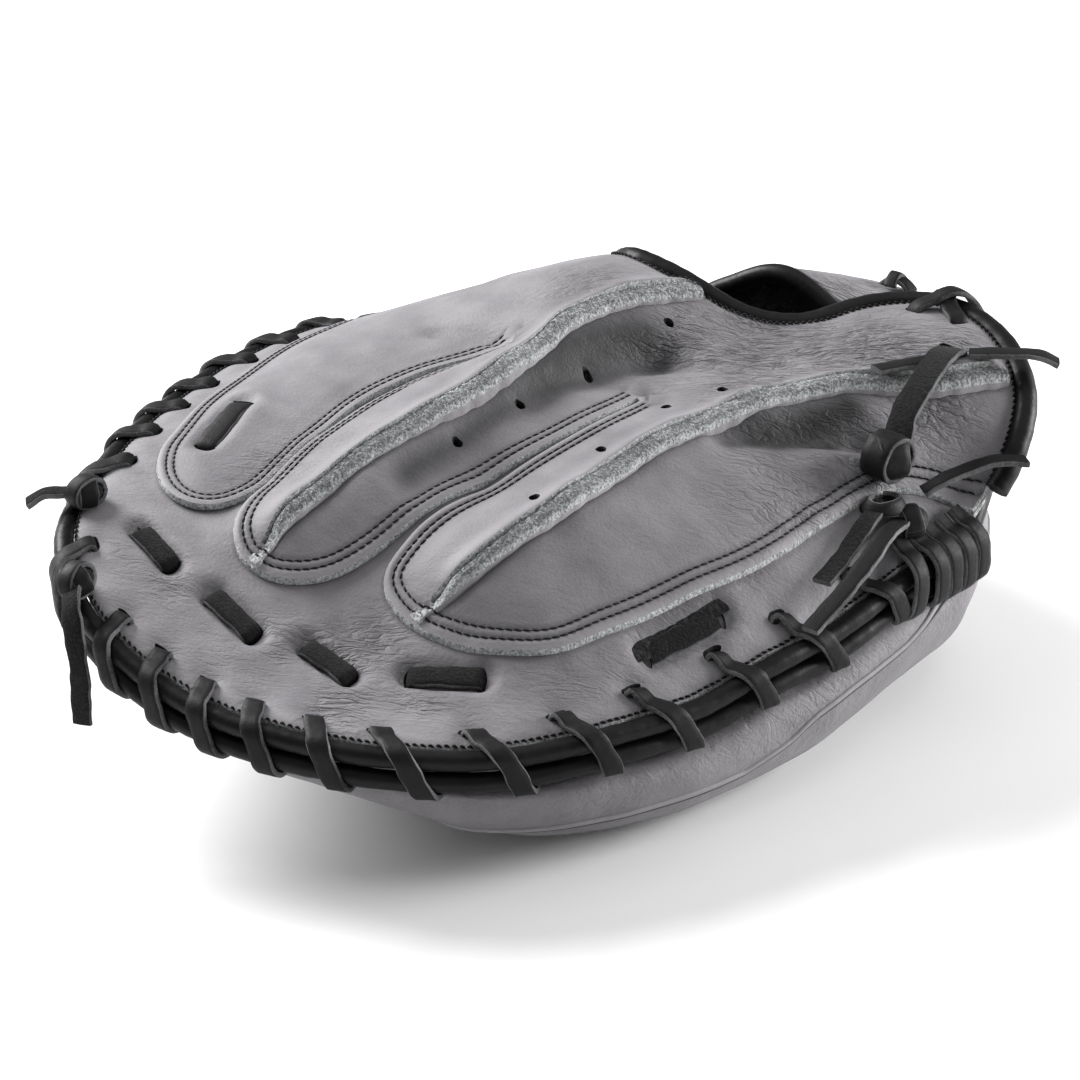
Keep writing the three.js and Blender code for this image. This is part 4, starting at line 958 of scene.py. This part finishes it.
def band_top(p):
    """Top face of the rim band, and its marks."""
    rim_away, along, _ = nearest(p, outer, True)
    lobe_away = nearest(p, lobe_line)[0]
    outside = ~inside(p, lobe_area)
    z = band(p) + 0.32 * waves(p, 15, 21) * smooth(0, 8, rim_away) + 0.12 * waves(p, 5, 22)
    dip = np.zeros(len(p))
    for centre in slot_centres:
        dip = np.maximum(dip, spot(p, centre, 4.2))
    z = z - 0.95 * dip
    z = z + 0.5 * hump(rim_away - 6, 4.5) * (1 - dip)
    dents = np.zeros(len(p))
    for dash in DASHES[1:]:
        ends = np.array([dash[:2], dash[2:4]], float)
        away = nearest(p, ends)[0]
        z = z - 1.7 * (1 - smooth(2.4, 5.4, away)) + 0.5 * hump(away - 7, 3.2)
        dents = np.maximum(dents, hump(away - 3.6, 1.1))
        for end in ends:
            z = z - 0.5 * spot(p, end, 3.0)
    z = z - 0.4 * hump(rim_away - 0.2, 0.9)
    z = z + 0.13 * np.cos(along * 2 * math.pi / 2.2) * hump(rim_away - 0.4, 0.8)
    z = np.where(outside, z, np.minimum(z, band(p) - 0.05))
    # Painted shade under the lobes' edges, at the outer edge by the piping, in the dips round the lace slots
    # and round the short laces' holes; the strip near the rim is painted lighter, as wear and as painted
    # highlight
    dirt = 0.45 * hump(lobe_away, 0.9) * outside + 0.5 * hump(rim_away, 0.5) + 0.25 * dip**3 + 0.4 * dents
    worn = 0.35 * hump(rim_away - 3.2, 2.2)
    return z, {"dirt": np.clip(dirt, 0, 1), "worn": np.clip(worn, 0, 1), "crease": crumpled(p, rim_away)}


def clear(p, holes):
    return ~np.any([inside(p, hole) for hole in holes], axis=0)


def in_band(p):
    return inside(p, outer) & ~inside(p, np.vstack([band_inner, behind])) & clear(p, band_holes)


def in_lobes(p):
    return inside(p, outer) & inside(p, lobe_area) & clear(p, panel_holes)


loops = [(outer, True), (band_inner, False)] + [(hole, True) for hole in band_holes]
rows = [(outer, True, (0.35, 0.9, 1.7, 3.0, 4.6)), (lobe_line, False, (0.5, 1.5))]
flat, faces = trim(*plan_sheet(loops, in_band, 2.1, rows))
top, marks = band_top(flat)
bottom = np.minimum(band(flat) - LEATHER, top - 1.4)
edge_lines = [(outer, True, 1.5), (band_inner, False, 0.6)]
leather_sheet("rim_band_leather", "rim_band", flat, faces, top, bottom, marks, edge_lines)

welt_sides = [inset(line, side * WELT_HALF) for line in welts for side in (-1, 1)]
loops = [(outer, True)] + [(line, False) for line in [lobe_line, *welt_sides]]
loops += [(hole, True) for hole in panel_holes]
rows = [
    (lobe_line, False, (0.4, 1.0, 1.7, 2.1, 2.5, 2.9, 3.6, 4.3, 4.7, 5.1, 6.2, 7.6)),
    (outer, True, (0.4, 1.0, 2.0)), (welts[0], False, (3.2, 4.4)), (welts[1], False, (3.2, 4.4)),
]
flat, faces = plan_sheet(loops, in_lobes, 2.0, rows)
centre = flat[faces].mean(1)
index_away, index_along, index_side = nearest(centre, welts[0])
ring_away, ring_along, ring_side = nearest(centre, welts[1])
thumb_side, pinky_side = index_side > 0, ring_side < 0
under_index = (index_away < WELT_HALF) & (index_along > WELT_HEAD)
under_ring = (ring_away < WELT_HALF) & (ring_along > WELT_HEAD)
edge_lines = [(outer, True, 1.5), (lobe_line, False, 0.6), (welts[0], False, 3.0), (welts[1], False, 3.0)]
for name, chosen, node in (
    ("thumb_index_leather", thumb_side, "thumb_index_panel"),
    ("middle_ring_leather", ~thumb_side & ~pinky_side, "middle_ring_panel"),
    ("pinky_leather", pinky_side, "pinky_panel"),
):
    part, part_faces = trim(flat, faces[chosen & ~under_index & ~under_ring])
    top, marks = panel_top(part)
    bottom = np.minimum(band(part) + 0.3, top - 1.5)
    leather_sheet(name, node, part, part_faces, top, bottom, marks, edge_lines)

# Welts between the panels: two folded leathers whose raw edges face up. Each row of the section is the
# share of the half width, the share of the height (or millimetres, below the panels), and how deep in
# the gap between the two leathers it lies, which paints shade into the suede there.
WELT = [
    (-1.0, -7.5, 0), (-1.02, -2.5, 0), (-1.02, -0.2, 0), (-1.0, 0.55, 0), (-0.9, 0.86, 0), (-0.72, 0.98, 0.3),
    (-0.5, 0.96, 0.7), (-0.25, 0.9, 0.9), (0.0, 0.88, 1.0), (0.25, 0.86, 1.0), (0.5, 0.78, 0.9),
    (0.74, 0.66, 0.7), (0.94, 0.48, 0.3), (1.06, 0.22, 0), (1.1, -0.2, 0), (1.06, -2.5, 0), (1.0, -7.5, 0),
]
FIBRES = 2600
for node, line in (("index_welt", welts[0]), ("ring_welt", welts[1])):
    ending = line[-1] - line[-4]
    line = evenly(np.vstack([line, line[-1] + ending / np.linalg.norm(ending) * [[2.0], [4.0]]]), 0.8, 2)
    n, m = len(line), len(WELT)
    along = np.arange(n) * np.linalg.norm(line[1] - line[0])
    right = right_of(unit(np.gradient(line, axis=0)))
    rise = 1.5 * hump(along - 1.2, 1.4) + 0.75 * hump(along - 4.0, 1.1) + 3.5 * smooth(5.6, 13, along) - 0.2
    half = 1.5 + 1.05 * smooth(6, 60, along)
    half = np.where(along < WELT_HEAD, np.maximum(half, 1.2 + 0.9 * hump(along - 1.2, 1.6)), half)
    ground = band(line) + PANEL_LIFT
    chance = np.random.RandomState(31)
    rows = []
    for across, height, _ in WELT:
        rough = chance.normal(0, 0.13, n) if height > 0.5 else np.zeros(n)
        lift = np.where(height < 0, height, height * rise)
        shift = across * half + (0.12 * np.sin(along / 1.7 + across * 3) + 0.1 * np.sin(along / 0.9))
        rows.append(np.column_stack([line + right * shift[:, None], ground + lift + rough]))
    points = np.stack(rows, 1)
    paints = np.tile([TOP] * 3 + [RAW] * 11 + [TOP] * 2, n - 1)
    # Painted shade in the welt's gap, fading out at the narrow stitched end
    core = np.tile([gap for _, _, gap in WELT], n) * np.repeat(smooth(6, 14, along), m)
    form = Form()
    # The welt's smooth leather sides are painted lighter, as wear and as painted highlight
    form.add(points, grid(n, m), paints, core=core, worn=0.9)
    fan = np.array([(k, k + 1, m) for k in range(m - 1)])
    for end, fan in ((points[0], fan), (points[-1], fan[:, [1, 0, 2]])):
        form.add(np.vstack([end, end.mean(0)]), fan, RAW)
    pick = chance.randint(3, m - 4, FIBRES)
    where = chance.randint(3, n - 1, FIBRES)
    fuzz(form, points[where, pick], 0.7, 5, 0.09, RAW)
    form.make(node + "_edge", [GREY, SUEDE], [node])

# Rolls: the two pipings, and the bindings of the wrist opening, the heel and the strap


def roll_of(name, node, path, radius, sides=24):
    form = Form()
    tube(form, path, radius, sides)
    form.make(name, [ROLL], [node])


s = np.linspace(1, 31, 560)
squeeze = sum(hump(s - station - 0.25, 0.16) for station in slot_stations)
for name, drop, seed in (("back_piping", BACK_DROP, 1), ("palm_piping", PALM_DROP, 2)):
    radius = PIPING_RADIUS * (1 - 0.055 * squeeze) + 0.05 * np.sin(s * 9 + seed) + 0.04 * np.sin(s * 23)
    roll_of(name + "_roll", name, rim(s, PIPING_OUT, -drop), radius)
s = np.linspace(-25, 0, 520)
roll_of("wrist_binding_roll", "wrist_binding", rim(s, 3.2, 1.5), BINDING_RADIUS + 0.05 * np.sin(s * 11))

# The palm: a closed padded form on spokes from its edge to the hub. Along a spoke, d is the distance
# from the edge inwards.
REST_HALF = 5  # half the width of the ring that it rests on
LIP_DROP = 14.7  # the lip under the pipings, below the edge of the back
LIP_IN = 3.4
POCKET = 48.0  # height of the pocket over the ground, at the hub
ROOM = 33  # height of the hand's room
stations = np.arange(33)
below = spline_at(np.vstack([EDGE[RIM_START:], EDGE[:1]])[:, 3:6], stations / 2)
below[:, 1] = np.maximum(below[:, 1], 0)
edge_points = rim(stations, 0, 0)
swell_points = rim(stations, below[:, 2], 0)
ring_loop = HUB + (spline_at(EDGE[:, :2], np.arange(2 * len(EDGE)) / 2, True) - HUB) * 0.9
inner_ring = ring_loop[(stations + 2 * RIM_START) % (2 * len(EDGE))]
slope = (band(inner_ring) - edge_points[:, 2]) / np.linalg.norm(inner_ring - edge_points[:, :2], axis=1)
lip = edge_points[:, 2] - LIP_DROP
mid = lip - 1.5 - np.maximum(below[:, 2], 0)
rim_rows = np.column_stack([edge_points, below, swell_points[:, :2], slope, lip, mid, np.zeros(33)])
ends = rim_rows[:, [0, 1, 9, 3, 4]]
heel = spline_at(np.vstack([ends[-1:], HEEL, ends[:1]]), np.arange(1, 14) / 2)
none = np.zeros(13)
heel_rows = np.column_stack([heel, none, heel[:, :2], none, heel[:, 2] - 3, heel[:, 2] - 14, none + 1])
spokes = curve(np.vstack([heel_rows, rim_rows]), 8, True)
ex, ey, ez, roll, lift, bulge, sx, sy, slope, lip, mid, wrist = spokes.T
lift = np.maximum(lift, 0)
at_wrist = wrist > 0.5
count = len(spokes)
reach = np.hypot(ex - HUB[0], ey - HUB[1])


def spoke_xy(d):
    return HUB + (np.column_stack([ex, ey]) - HUB) * (1 - d / reach)[:, None]


def palm_low(d):
    """Height of the palm's face that looks down."""
    inner = roll - REST_HALF
    u = np.clip((inner - d) / np.maximum(inner + bulge, 1), 0, 1)
    near = lift + (mid - lift) * (1 - np.sqrt(np.maximum(1 - u * u, 0)))
    t = smooth(0, 1, (d - roll - REST_HALF) / (reach * 0.95 - roll - REST_HALF))
    return np.where(d < inner, near, lift + (POCKET - lift) * t)


def palm_high(d):
    """Height of the palm's face in the hand's room."""
    roof = band(spoke_xy(d)) - PANEL_LIFT
    floor = np.maximum(roof - ROOM, palm_low(d) + 10)
    start = np.where(at_wrist, LIP_IN, 16.0)
    top = np.where(at_wrist, lip + 3, roof)
    t = np.clip((d - start) / np.maximum(roll + REST_HALF - start, 1), 0, 1)
    return top + (floor - top) * t * t * (3 - 2 * t)


pocket = [roll + REST_HALF + (reach - roll - REST_HALF) * k for k in np.linspace(1, 0, 34, endpoint=False)]
resting = [roll - REST_HALF + 2 * REST_HALF * k for k in np.linspace(1, 0, 6, endpoint=False)]
columns = [np.column_stack([spoke_xy(d), palm_low(d)]) for d in pocket + resting]
outward = np.column_stack([sx - ex, sy - ey])
swell = np.where(np.abs(bulge) < 0.3, 0.3, bulge)
for angle in np.linspace(0, math.pi / 2, 30):  # the outer roll
    d = (roll - REST_HALF) - (roll - REST_HALF + bulge) * math.sin(angle)
    p = spoke_xy(np.maximum(d, 0)) + outward * np.clip(-d / swell, 0, 1)[:, None] * (bulge > 0)[:, None]
    columns.append(np.column_stack([p, lift + (mid - lift) * (1 - math.cos(angle))]))
outermost = columns[-1][:, :2]
for angle in np.linspace(0, math.pi / 2, 12)[1:]:  # up to the lip under the piping
    share = 1 - math.cos(angle)
    p = outermost * (1 - share) + spoke_xy(LIP_IN) * share
    columns.append(np.column_stack([p, mid + (lip - mid) * math.sin(angle)]))
lip_ring = len(columns) - 1
wall_top = np.where(at_wrist, lip + 3, ez + slope * 3.8 - 2.8 - 3.6)
for share in (0.25, 0.5, 0.75, 1.0):
    columns.append(np.column_stack([spoke_xy(LIP_IN + 0.4 * share), lip + (wall_top - lip) * share]))
for share in np.linspace(0, 1, 34, endpoint=False)[1:]:  # the hand's room
    d = 8.6 + (reach - 8.6) * share
    z = palm_high(d)
    cover = band(spoke_xy(d)) - 2.8
    columns.append(np.column_stack([spoke_xy(d), np.where(at_wrist, z, np.minimum(z, cover))]))
palm = np.stack(columns, 1)
rings = palm.shape[1]
points = palm.reshape(-1, 3)
lumps = 0.7 * waves(points * [1, 1, 0.6], 26, 41) + 0.22 * waves(points, 9, 42)
soft = np.zeros((count, rings))
soft[:, 4 : lip_ring - 4] = 1
soft = np.minimum(soft, np.clip(points[:, 2].reshape(count, rings) / 4, 0, 1))
normal = unit(np.cross(np.roll(palm, -1, 0) - np.roll(palm, 1, 0), np.gradient(palm, axis=1)))
flip = np.sign((normal * (palm - np.array([10, 5, 40]))).sum(-1).mean())
palm = palm + normal * flip * (lumps.reshape(count, rings) * soft * 0.6)[..., None]
form = Form()
form.add(palm, grid(count, rings, wrap_rows=True, flip=flip < 0), crease=0.12)

# Height of the palm's corded seam: angle in plan round the palm's middle, and z
PALM_MIDDLE = np.array([10.0, -20.0])
PALM_SEAM = np.array([
    (180, 14), (188.4, 19), (193, 24), (200.3, 27.5), (211.8, 31.5), (217.5, 36), (224.8, 40.7), (240, 43),
    (262, 41), (290, 35), (320, 26), (350, 17), (390, 13), (450, 12), (520, 12),
])


def seam_paths(shift):
    """The lines in which the palm's outer wall meets the seam's height plus shift."""
    from_middle = palm[..., :2] - PALM_MIDDLE
    angle = np.degrees(np.arctan2(from_middle[..., 1], from_middle[..., 0])) % 360
    over = palm[..., 2] - np.interp(angle, PALM_SEAM[:, 0], PALM_SEAM[:, 1], period=360) - shift
    far = np.linalg.norm(from_middle, axis=-1)
    paths = [[]]
    for high, out, points in zip(over, far, palm):
        cross = np.flatnonzero(high[:-1] * high[1:] < 0)
        if len(cross):
            j = cross[np.argmax(out[cross])]
            part = high[j] / (high[j] - high[j + 1])
            point = points[j] * (1 - part) + points[j + 1] * part
            if paths[-1] and np.linalg.norm(point - paths[-1][-1]) > 9:
                paths.append([])
            paths[-1].append(point)
    return [evenly(np.array(path), 1.6, 3) for path in paths if len(path) > 8]


# The cord is painted lighter as painted highlight; under it a thin tube painted dark stands for the shadow in
# the gap
for path in seam_paths(1.0):  # the cord
    tube(form, path, 0.85, 10, worn=0.55)
for path in seam_paths(-0.35):  # the dark gap under it
    tube(form, path, 0.42, 8, dirt=0.9)
form.close(palm[:, 0], flip=True)
form.close(palm[:, -1])
palm_body = form.make("palm_leather", [GREY], ["palm_pad"])

# The lining of the hand's room
columns = []
for share in np.linspace(0, 1, 30, endpoint=False):
    d = (roll + REST_HALF) * 0.4 + (reach - (roll + REST_HALF) * 0.4) * share
    columns.append(np.column_stack([spoke_xy(d), palm_high(d) + 1.9]))
lining = np.stack(columns, 1)
lining = lining + UPWARD * (0.9 * waves(lining, 9, 51) * 0.5)[..., None]
form = Form()
form.add(lining, grid(count, lining.shape[1], wrap_rows=True, flip=True))
form.close(lining[:, -1])
form.make("hand_lining", [LINING], ["palm_lining"])

path = evenly(curve(np.column_stack([heel[:, 0], heel[:, 1] + 3, heel[:, 2] - 3 + 6.7]), 10), 1.3)
radius = BINDING_RADIUS + 0.06 * np.sin(np.arange(len(path)) / 4)
roll_of("heel_binding_roll", "heel_binding", path, radius)

# Wrist strap, with fleece below it
STRAP_COLUMNS = 22
STRAP_THICK = 2.6
FLEECE = 13.5
strap = evenly(curve(STRAP, 12), 1.5, 3)
near, far = strap[:, :3], strap[:, 3:]
across = np.linspace(0, 1, STRAP_COLUMNS)
body = near[:, None] * (1 - across)[None, :, None] + far[:, None] * across[None, :, None]
body[..., 2] += 1.3 + 0.5 * np.sin(across * math.pi)[None] + 0.25 * waves(body, 9, 61)
under_side = body - [0, 0, STRAP_THICK]
ring = np.concatenate([body, under_side[:, ::-1]], 1)
n, m = ring.shape[:2]
quads = grid(n, m, wrap_columns=True, flip=True)
wide = STRAP_COLUMNS - 1
paints = np.tile([TOP] * wide + [RAW] + [UNDER] * wide + [RAW], n - 1)
form = Form()
# The strap's leather is painted a little lighter all over
form.add(ring, quads, paints, worn=0.3, crease=0.5)
block = np.array([(k, k + 1, m - 2 - k, m - 1 - k) for k in range(wide)])
form.add(ring[0], block, RAW)
form.add(ring[-1], block[:, ::-1], RAW)
share = np.sin(across * math.pi)[None] ** 0.6 * np.sin(np.linspace(0, math.pi, n))[:, None] ** 0.35
deep = 0.4 + FLEECE * share + 0.7 * waves(under_side, 5, 62) * share
fleece_low = under_side - UPWARD * deep[..., None]
form.add(np.concatenate([under_side - [0, 0, 0.1], fleece_low[:, ::-1]], 1), quads, UNDER)
form.make("wrist_strap_leather", SHEETS, ["wrist_strap"])
roll_of("strap_binding_roll", "strap_binding", near + [-0.6, 3.5, 0], 3.1, 22)

# Rim lace: out, up, on, then the direction that its smooth face looks, out and up
TURN = [
    (-5.3, -4.5, 0.0, -1, 0), (-5.3, -1.4, 0.01, -1, 0.1), (-4.8, 0.3, 0.03, -0.7, 0.7),
    (-3.3, 1.05, 0.06, -0.1, 1), (-0.8, 1.05, 0.11, 0, 1), (2.0, 1.25, 0.17, 0, 1),
    (4.8, 0.7, 0.22, 0.5, 0.85), (6.5, -0.8, 0.27, 0.85, 0.5), (7.05, -3.2, 0.32, 1, 0),
    (7.05, -6.4, 0.38, 1, 0), (7.0, -9.7, 0.44, 1, -0.15), (6.1, -12.0, 0.49, 0.7, -0.7),
    (3.9, -13.3, 0.54, 0, -1), (1.2, -12.7, 0.6, -0.5, -0.85), (-0.8, -10.8, 0.66, -1, 0),
    (-1.4, -7.0, 0.78, -1, 0), (-2.2, -5.4, 0.88, -0.4, -0.9), (-4.2, -5.1, 0.96, -0.3, -1),
]
rows = []
for first, after in zip(LACE_HOLES[:-1], LACE_HOLES[1:]):
    for out, up, on, face_out, face_up in TURN:
        s = first + on * (after - first)
        away = np.array([*right_of(rim_plan(s)[1]), 0])
        rows.append(np.r_[rim(s, out, up), face_out * away + face_up * UPWARD])
rows = np.array(rows[3:])  # the first turn starts on top of the leather
strip("rim_lace_strip", "rim_lace", rows[:, :3], rows[:, 3:], seed=2)

# Short laces on the back: share of the way, rise, then the direction that the face looks, on and up
DASH_STEPS = [
    (0.0, -3.4, -1, 0), (0.0, -1.8, -1, 0.2), (0.03, -0.85, -0.6, 0.8), (0.12, -0.45, 0, 1),
    (0.3, -0.3, 0, 1), (0.5, -0.2, 0, 1), (0.7, -0.3, 0, 1), (0.88, -0.45, 0, 1), (0.97, -0.85, 0.6, 0.8),
    (1.0, -1.8, 1, 0.2), (1.0, -3.4, 1, 0),
]
for number, (x, y, x2, y2, base, _, out) in enumerate(DASHES):
    a, b = np.array([x, y], float), np.array([x2, y2], float)
    way = unit(b - a)
    points, facing = [], []
    for t, rise, on, up in DASH_STEPS[out : len(DASH_STEPS) - out]:
        p = a + (b - a) * t
        points.append(np.array([p[0], p[1], band(p) + base]) + rise * up_of(p))
        facing.append(np.array([*(on * way), 0]) + up * up_of(p))
    name, node = f"finger_lace_strip_{number + 1}", f"finger_lace_{number + 1}"
    strip(name, node, points, facing, DASH_WIDTH, seed=number + 4, flesh=number > 0, cup=0.25)

# Laces and knots round the wrist and the web


def panel_height(x, y):
    return float(band(np.array([x, y]))) + PANEL_LIFT


def knot(form, centre, way, size, width, seed, turns=((0, 0.0), (62, 0.5))):
    """A tight knot: a lace wound round a core, in bands that cross."""
    way = unit(np.asarray(way, float))
    side = unit(np.cross(way, UPWARD))
    over = np.cross(side, way)
    body = []
    for t in np.linspace(-0.98, 0.98, 9):
        wide, high = (circle(16) * math.sqrt(1 - t * t) * size[1:] * 0.82).T[..., None]
        body.append(centre + way * t * size[0] * 0.8 + wide * side + high * over)
    form.add(body, grid(9, 16, wrap_columns=True, flip=True), 1)
    phi = np.linspace(0, 2 * math.pi, 13)
    for tilt, shift in turns:
        lean = math.radians(tilt)
        axis = way * math.cos(lean) + side * math.sin(lean)
        first = unit(np.cross(axis, over))
        second = np.cross(axis, first)
        ring = (
            centre + axis * (0.12 * size[0] * np.cos(phi)[:, None])
            + first * (np.cos(phi) * (size[1] - 0.5 + shift))[:, None]
            + second * (np.sin(phi) * (size[2] - 0.5 + shift))[:, None]
        )
        lace(form, ring, unit(ring - centre), width, 1.5, seed + int(tilt), 0.7)


# Laces near the wrist: node, seed, whether the rough side is up, and rows of x, y, z; a z below 20 is
# the height over the panels
TAILS = [
    ("tie_tail", 23, False, [(-54, -129, 98.3), (-53, -119, 98.7), (-52, -107, 99.4)]),
    ("tie_end", 24, False, [(-57, -139, 2.5), (-63.5, -146.5, 99.2), (-71, -154, 99.4), (-75, -158.5, 97)]),
    ("strap_lace_over", 25, False, [
        (-27, -142, -1.9), (-27.3, -143.5, 1.6), (-29, -148, 104.6), (-31, -154, 106.6), (-32, -160, 104.0),
        (-33, -165, 97.0)]),
    ("strap_lace_under", 26, False, [
        (-42, -148, -1.9), (-40.5, -148.5, 1.4), (-36, -150, 103.0), (-30, -153, 104.6), (-24, -157.5, 103.2),
        (-18, -162, 96.5)]),
    ("heel_tail_a", 27, True, [(-79, -89, 2), (-83, -80, 70), (-88, -68, 65), (-93, -55, 61)]),
    ("heel_tail_b", 28, False, [(-82.5, -97, 2.4), (-90, -82, 68.5), (-98, -63, 62), (-104, -42, 54)]),
    ("heel_tail_c", 29, False, [(-79, -104, 4.9), (-82, -112, 75), (-86, -124, 78), (-90, -134, 77)]),
]
TIE = [
    (-52, -137, -2), (-53, -135.5, 1.4), (-58, -127, 101), (-64, -115, 98), (-69, -104, 92), (-73, -98, 86),
]


def wrist_row(rows):
    return np.array([(x, y, z if z > 20 else panel_height(x, y) + z) for x, y, z in rows], float)


form = Form()
lace(form, wrist_row(TIE), UPWARD, 8.5, 1.8, 21, flesh=True)
knot(form, (-74, -94, 83), (0.62, 0.78, 0.1), (8.6, 6.6, 6.2), 9.0, 22, ((-12, 0.0), (48, 0.7)))
form.make("wrist_tie_strip", LACES, ["wrist_tie"])
for node, seed, flesh, rows in TAILS:
    form = Form()
    lace(form, wrist_row(rows), UPWARD, seed=seed, flesh=flesh)
    if node == "heel_tail_a":  # a ring of lace that the tail comes out of
        turn = np.radians(np.arange(20, 330, 22))
        out = np.column_stack([np.cos(turn), np.sin(turn), np.zeros(len(turn))])
        centre = np.array([-79.5, -88.5, panel_height(-79.5, -88.5) + 3.0])
        lace(form, centre + out * [4.6, 5.6, 0], out + [0, 0, 0.7], 4.6, 1.5, 71)
    if node == "heel_tail_b":
        knot(form, (-85, -94, panel_height(-85, -94) + 4.4), (0.5, -0.8, 0.1), (6.6, 4.8, 4.2), 5.6, 72)
    form.make(node + "_strip", LACES, [node])
form = Form()
path = [(-4, -162, 95.4), (-1.5, -161.5, 97.6), (2, -160.5, 98.6), (5.2, -159.6, 97.2), (7.4, -159, 94.8)]
lace(form, path, UPWARD, 4.6, 1.5, 35)
path = [(0.6, -156.6, 97.2), (1.6, -158.6, 98.9), (2.2, -160.5, 100), (2.6, -162.4, 98.6), (3, -164, 96.2)]
lace(form, path, UPWARD, 4.2, 1.4, 36)
form.make("strap_knot_lace", LACES, ["strap_knot"])

# Loops at the heel: out and up, then the direction that the face looks, out and up
LOOP = [
    (-2.5, 4.8, 0, 1), (1, 4.9, 0, 1), (4.8, 3.7, 0.4, 0.9), (8, -0.8, 1, 0.1), (8.1, -9.4, 1, -0.1),
    (6.4, -13, 0.8, -0.7), (3.2, -14.1, 0, -1), (0.4, -13, -0.7, -0.7),
]
for k, back in enumerate((1.35, 0.85, 0.35)):
    s = 32 - back
    _, way = rim_plan(s)
    path = [rim(s, out, up) + np.array([*way, 0]) * 0.5 * j for j, (out, up, _, _) in enumerate(LOOP)]
    face = [np.array([*right_of(way), 0]) * out + UPWARD * up for _, _, out, up in LOOP]
    form = Form()
    lace(form, path, face, seed=41 + k)
    for shift, lean in ((-0.42, 0.035), (-0.8, -0.03)) if k == 0 else ():
        path = [rim(s + shift + lean * j, out, up) for j, (out, up, _, _) in enumerate(LOOP[:-1])]
        lace(form, path, face[:-1], seed=44)
    form.make(f"heel_loop_strip_{k + 1}", LACES, [f"heel_loop_{k + 1}"])

for node, path, face, seed, centre, way in (
    ("web_knot_a", [(43, 107.5, 81.4), (46.5, 112.2, 80.6), (49.5, 116.5, 80.4), (51.8, 121, 77.5)],
     UPWARD, 51, (42, 107, 81.2), (0.4, 0.9, 0)),
    ("web_knot_b", [(6, 131.5, 72), (-1, 136, 69), (-6, 137.2, 58), (-6.5, 137.2, 37)],
     (-0.6, 0.8, 0.3), 53, (9, 128.4, 72.6), (0.2, 0.9, -0.3)),
):
    form = Form()
    lace(form, path, face, seed=seed, flesh=True)
    knot(form, centre, way, (6.0, 5.2, 4.2), 5.2, seed + 1)
    form.make(node + "_lace", LACES, [node])

# Stitches
form = Form()
for line in lobes:
    for offset in SEAM_ROWS:
        moved = evenly(inset(evenly(line, 0.6, 2), offset), 0.6, 2)
        kept = np.abs(nearest(moved, lobe_line)[0] - offset) < 0.12
        moved = moved[kept & inside(moved, outer) & (nearest(moved, outer, True)[0] > 1.0)]
        height, _ = panel_top(moved)
        rise = np.zeros(len(moved))
        for welt in welts:
            gap, along, _ = nearest(moved, welt)
            rise = np.maximum(rise, hump(gap, 1.7) * (along < 9))
        stitches(form, np.column_stack([moved, height + rise]), 0.12, 2.5, 1.02, 0.27, 0.35)
form.make("lobe_stitches", [THREAD], ())

form = Form()
for s, out, top_of, lift, pitch, radius in (
    (np.linspace(1, 31, 900), -0.35, band_top, 0.15, 2.2, 0.34),
    (np.linspace(-25, -0.2, 900), -0.4, panel_top, 0.25, 2.1, 0.36),
):
    plan = rim(s, out, 0.0)[:, :2]
    stitches(form, np.column_stack([plan, top_of(plan)[0]]), lift, pitch, 0.8, radius, 0.5)
form.make("edge_stitches", [THREAD], ())

# Floor and light, in metres
HALF_FLOOR = 6.0
plane = bpy.data.meshes.new("floor")
corners = [(x * HALF_FLOOR, y * HALF_FLOOR, 0) for x, y in ((-1, -1), (1, -1), (1, 1), (-1, 1))]
plane.from_pydata(corners, [], [(0, 1, 2, 3)])
pale = Paint("pale_floor")
plane.materials.append(pale.done(Base_Color=(0.93, 0.93, 0.93, 1), Roughness=0.7, Specular_IOR_Level=0.2))
floor = placed("floor", plane)

world = bpy.data.worlds.new("studio")
scene.world = world
world.use_nodes = True
sky = world.node_tree.nodes["Background"]
sky.inputs["Color"].default_value = (1, 1, 1, 1)
sky.inputs["Strength"].default_value = 0.3
scene.view_settings.view_transform = "Standard"

# Round lamps: name, place, size and power; all look at one point
LAMPS = [
    ("key", (1.0, 0.34, 0.85), 0.8, 34),
    ("right_fill", (-0.5, -1.05, 0.36), 0.6, 19),
    ("top_fill", (-0.1, -0.1, 1.6), 1.6, 5),
]
for name, place, size, watts in LAMPS:
    lamp = bpy.data.lights.new(name, "AREA")
    lamp.shape = "DISK"
    lamp.size = size
    lamp.energy = watts
    thing = placed(name, lamp)
    thing.location = place
    thing.rotation_euler = (Vector((0, 0, 0.05)) - Vector(place)).to_track_quat("-Z", "Y").to_euler()
